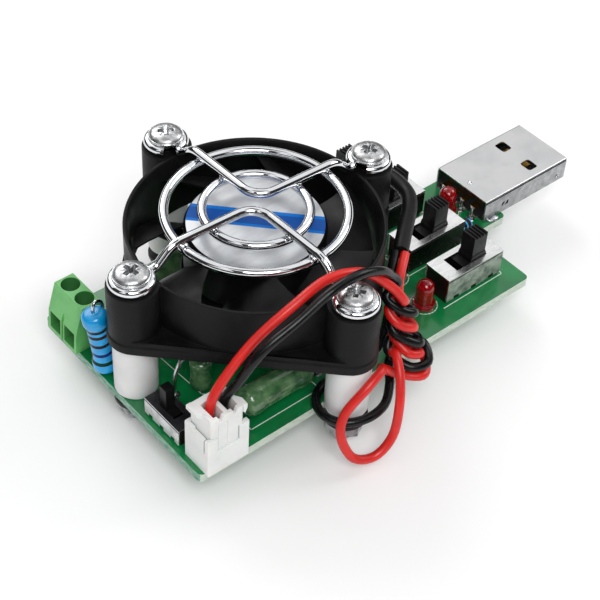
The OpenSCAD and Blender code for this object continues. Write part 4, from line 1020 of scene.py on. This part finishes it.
def label_finish():
    """Brushed silver with a plain stripe in two blues."""
    made = finish("label_silver", "#d6d8da", "#bcbec1", 0.36, 0.12, 130, 0.0, 0.6, (1, 3, 1),
                  Specular_IOR_Level=0.15)
    tree = made.node_tree
    shader = tree.nodes["Principled BSDF"]
    colour = shader.inputs["Base Color"].links[0].from_socket
    place = add_node(tree, "TexCoord")
    across = add_node(tree, "VectorMath", operation="DOT_PRODUCT")
    across.inputs[1].default_value = (0.718 / MM, 0.696 / MM, 0)
    link(tree, place, "Object", across, 0)
    stripes = []
    for low, high, blue in ((-1.2, 2.7, "#0f70c6"), (-0.6, 2, "#1350a0")):
        above = add_node(tree, "Math", operation="GREATER_THAN")
        below = add_node(tree, "Math", operation="LESS_THAN")
        both = add_node(tree, "Math", operation="MULTIPLY")
        mix = add_node(tree, "Mix", data_type="RGBA")
        above.inputs[1].default_value = low
        below.inputs[1].default_value = high
        link(tree, across, "Value", above, 0)
        link(tree, across, "Value", below, 0)
        link(tree, above, 0, both, 0)
        link(tree, below, 0, both, 1)
        link(tree, both, 0, mix, "Factor")
        tree.links.new(colour, mix.inputs[MIX_A])
        mix.inputs[MIX_B].default_value = paint(blue)
        colour = mix.outputs[MIX_OUT]
        stripes.append(both)
    tree.links.new(colour, shader.inputs["Base Color"])
    metal = add_node(tree, "Math", operation="MULTIPLY_ADD")
    metal.inputs[1].default_value = -0.5
    metal.inputs[2].default_value = 0.6
    link(tree, stripes[0], 0, metal, 0)
    link(tree, metal, 0, shader, "Metallic")


label_finish()
skin("fan_label", "label_silver", "label_silver", 0.04, body="rotor")


# USB PLUG

USB_REAR = 46.1
USB_FRONT = 66.3
USB_SIDE = 6
USB_TOP = 11.5
USB_SHEET = 0.3
LATCH_Y = 3.15
# Two planes clear of the shell's ends
PAST_REAR = 45
PAST_FRONT = 67


def add_plug_shell():
    """The folded shell, with latch windows and springs, a seam, dimples, slots and solder legs."""
    seam_low, seam_high, seam_depth = 10.92, 11.2, 0.18
    shell = rounded_box("usb_shell_folded", (USB_REAR, -USB_SIDE, BOARD_TOP), (USB_FRONT, USB_SIDE, USB_TOP),
                        0, 0.35)
    inner = USB_SIDE - USB_SHEET
    tools = [rounded_box("hollow", (PAST_REAR, -inner, BOARD_TOP + USB_SHEET),
                         (PAST_FRONT, inner, USB_TOP - USB_SHEET), 0, 0.15)]
    for side in (-1, 1):
        latch_y, edge = side * LATCH_Y, side * USB_SIDE
        tools.append(rounded_box("window", (58.35, latch_y - 1.2, 6), (60.45, latch_y + 1.2, 12), 2, 0.45))
        tools.append(add_box("seam", (PAST_REAR, edge - seam_depth, seam_low),
                             (PAST_FRONT, edge + seam_depth, seam_high)))
        tools.append(rounded_box("slot", (50.35, edge - 0.5, 8.5), (51.85, edge + 0.5, 9.4), 1, 0.15))
    for *place, radius in ((47.6, -0.4, 11.72, 0.5), (64.4, -6.22, 8.6, 0.55), (64.4, 6.22, 8.6, 0.55)):
        tools.append(add_ball(place, radius, 20, 12))
    cut(shell, *tools)
    parts = [shell]
    half_sheet = USB_SHEET / 2
    for side in (-1, 1):
        latch_y, leg_y = side * LATCH_Y, side * (USB_SIDE - half_sheet)
        leg = rounded_box("leg", (47.3, leg_y - half_sheet, 4.8), (49.1, leg_y + half_sheet, 7.6), 1, 0.12)
        tab = rounded_box("tab", (-0.16, -0.12, -0.5), (0.16, 0.12, 0.5), 1, 0.05)
        stand(tab, (51.1, side * 5.86, 8.95), (0, 40, 0))
        spring = rounded_box("spring", (58.05, latch_y - 0.6, 10.7), (58.35, latch_y + 0.6, 11.3), 1, 0.1)
        parts += [leg, tab, spring]
    dress(unite(parts), "plated_steel", "seam_dark", "plated_side_painted_shade")
    # Painted shade on the shell's sides
    give_faces(shell, 2, lambda c, n: abs(n.y) > 0.9 and abs(c.y) > 5.9)
    # Painted shade in the seam's groove
    give_faces(shell, 1, lambda c, n: seam_low - 0.01 < c.z < seam_high + 0.01 and 5.73 < abs(c.y) < 5.98)
    put_on(soften(shell, 0.05, 40), "plated_steel", "usb_shell")


def add_shell_solder():
    """Solder that has run round the shell's legs, with its foot a little below the board's top."""
    rings, height = 14, 0.42
    # The foot is the ball's first ring of points below its widest one
    foot = -height * math.sin(math.pi / rings)
    blobs = []
    for side in (-1, 1):
        blob = add_ball((0, 0, 0), 1, 28, rings)
        blob.name = "shell_solder"
        blob.scale = (1.25, 0.75, height)
        apply_place(blob)
        select_faces(blob, lambda c, n: c.z < foot)
        bpy.ops.transform.resize(value=(1, 1, 0), center_override=(0, 0, foot * MM))
        object_mode()
        blobs.append(stand(blob, (48.2, side * 6.15, BOARD_TOP), (0, 0, side * 4)))
    put_on(soften(dress(unite(blobs), "solder")), "solder")


def add_contacts():
    """The gold contacts, tinned where they go down to the board."""
    contacts = copy_node("usb_contacts", "gold", "solder")
    give_faces(contacts, 1, lambda c, n: c.x < 50)
    put_on(soften(contacts, 0.04), "gold", "usb_contacts")


add_plug_shell()
add_shell_solder()
add_contacts()


# FAN CONNECTOR

def add_fan_socket():
    """The open box on the board, slit beside its corners, with a dip in its right wall."""
    box = rounded_box("fan_socket_box", (-25.1, -21.2, BOARD_TOP), (-17.6, -15.45, 14.4), 2, 0.25)
    past_top = 15
    tools = [add_box("hollow", (-24.4, -20.5, 8.1), (-18.3, -16.1, past_top)),
             add_box("slit", (-26, -20.3, 11.3), (-24, -19.9, past_top)),
             add_box("step", (-26, -19.9, 14), (-24, -17.4, past_top)),
             add_box("arch", (-23.4, -22, 11.5), (-19.4, -20, past_top)),
             add_box("far_slit", (-22.4, -17, 11), (-20.3, -15, past_top)),
             taper(add_box("dip", (-19, -19.6, 12.2), (-17, -17, past_top)), 1, 1.7, side=1)]
    cut(box, *tools)
    put_on(soften(dress(box, "nylon_white"), 0.1, 40), "socket_white", "fan_socket")


def add_wing(corners, inner, top):
    """A wing on the plug's head, whose underside slopes back to the line x = inner."""
    thick, slope = 0.8, 0.9
    wing = slab("wing", corners, top - thick, top)
    select_faces(wing, lambda c, n: n.z < -0.9)
    bpy.ops.mesh.extrude_region_move(TRANSFORM_OT_translate={"value": (0, 0, -slope * MM)})
    bpy.ops.transform.resize(value=(0.05, 1, 1), center_override=(inner * MM, 0, 0))
    object_mode()
    return wing


def add_fan_plug():
    """The plug, whose head flares to a wing at each end and dips where the wires leave."""
    foot, neck, top, past_top = 8.3, 14.4, 18.2, 19
    body = slab("fan_plug_body", [(-24.3, -16.2), (-24.3, -20.4), (-23.3, -20.4), (-23.3, -20.95),
                                  (-19.5, -20.95), (-19.5, -20.4), (-18.4, -20.4), (-18.4, -16.2)],
                foot, neck)
    head = slab("head", [(-24.3, -16), (-24.3, -20.6), (-23.9, -20.95), (-18.9, -20.95), (-18.5, -20.6),
                         (-18.5, -16)], neck - 0.1, top)
    left = add_wing([(-24.2, -15.9), (-24.2, -18.9), (-24.5, -18.6), (-25.1, -18.4), (-25.1, -15.9)],
                    -24.25, top)
    right = add_wing([(-18.6, -21), (-18, -21.1), (-17.9, -19.7), (-18.6, -18.6)], -18.55, top)
    tools = []
    for x, y in (PLUG_RED, PLUG_BLACK):
        tools.append(add_rod("hole", (x, y, 8), 0.92, 12))
        well = add_box("well", (x - 0.95, -20.3, 15.4), (x + 0.95, y + 0.9, past_top))
        tools.append(taper(well, 0.75, 0.8))
        notch = add_box("notch", (x - 0.6, -22, 17.3), (x + 0.6, y, past_top))
        tools.append(taper(notch, 0.3, 1))
    tools.append(add_box("channel", (-23.1, -22, 11.6), (-21.4, -20.83, 16.9)))
    for part in (head, left, right):
        add_modifier(body, "BOOLEAN", object=part, operation="UNION", solver="EXACT")
        bpy.data.objects.remove(part)
    cut(body, *tools)
    put_on(soften(dress(body, "nylon_white"), 0.1, 40), "socket_white", "fan_plug")


add_fan_socket()
add_fan_plug()


# BOARD PRINT

PRINT_W = 0.16
PRINT_H = 0.02


def print_line(points):
    """Thin white lines that stand a little proud of the board."""
    parts = []
    for a, b in zip(points, points[1:]):
        a, b = Vector((*a, 0)), Vector((*b, 0))
        line = add_box("print", (-PRINT_W / 2, -PRINT_W / 2, 0),
                       ((b - a).length + PRINT_W / 2, PRINT_W / 2, PRINT_H))
        turn = math.degrees(math.atan2(b.y - a.y, b.x - a.x))
        parts.append(stand(line, (a.x, a.y, BOARD_TOP), (0, 0, turn)))
    return parts


def print_frame(x, y, length, width):
    """A rectangle of print round a part."""
    corners = [(x - length / 2, y - width / 2), (x + length / 2, y - width / 2),
               (x + length / 2, y + width / 2), (x - length / 2, y + width / 2)]
    return print_line(corners + corners[:1])


def add_print():
    """The plain outlines round the parts, which are open beside the lamps."""
    lines = print_line([(-16.6, 2.4), (-16.1, -7.7), (-12.4, -12)])
    lines += print_line([(26.2, -16.94), (39.6, -16.83), (39.6, -16.1)])
    for x, y in LYING_LOADS:
        lines += print_frame(x, y, 13.4, 5.6)
    for y in SWITCH_ROWS[1:]:
        lines += print_frame(SWITCH_X, y, 13, 6)
    for x, y in LAMPS.values():
        lines += print_line([p[:2] for p in arc(x, y, 0, 2.3, 20, 340, 20)])
    put_on(soften(dress(unite(lines, "board_print"), "print_white")), "board")


add_print()


bpy.context.scene.view_settings.view_transform = "Standard"
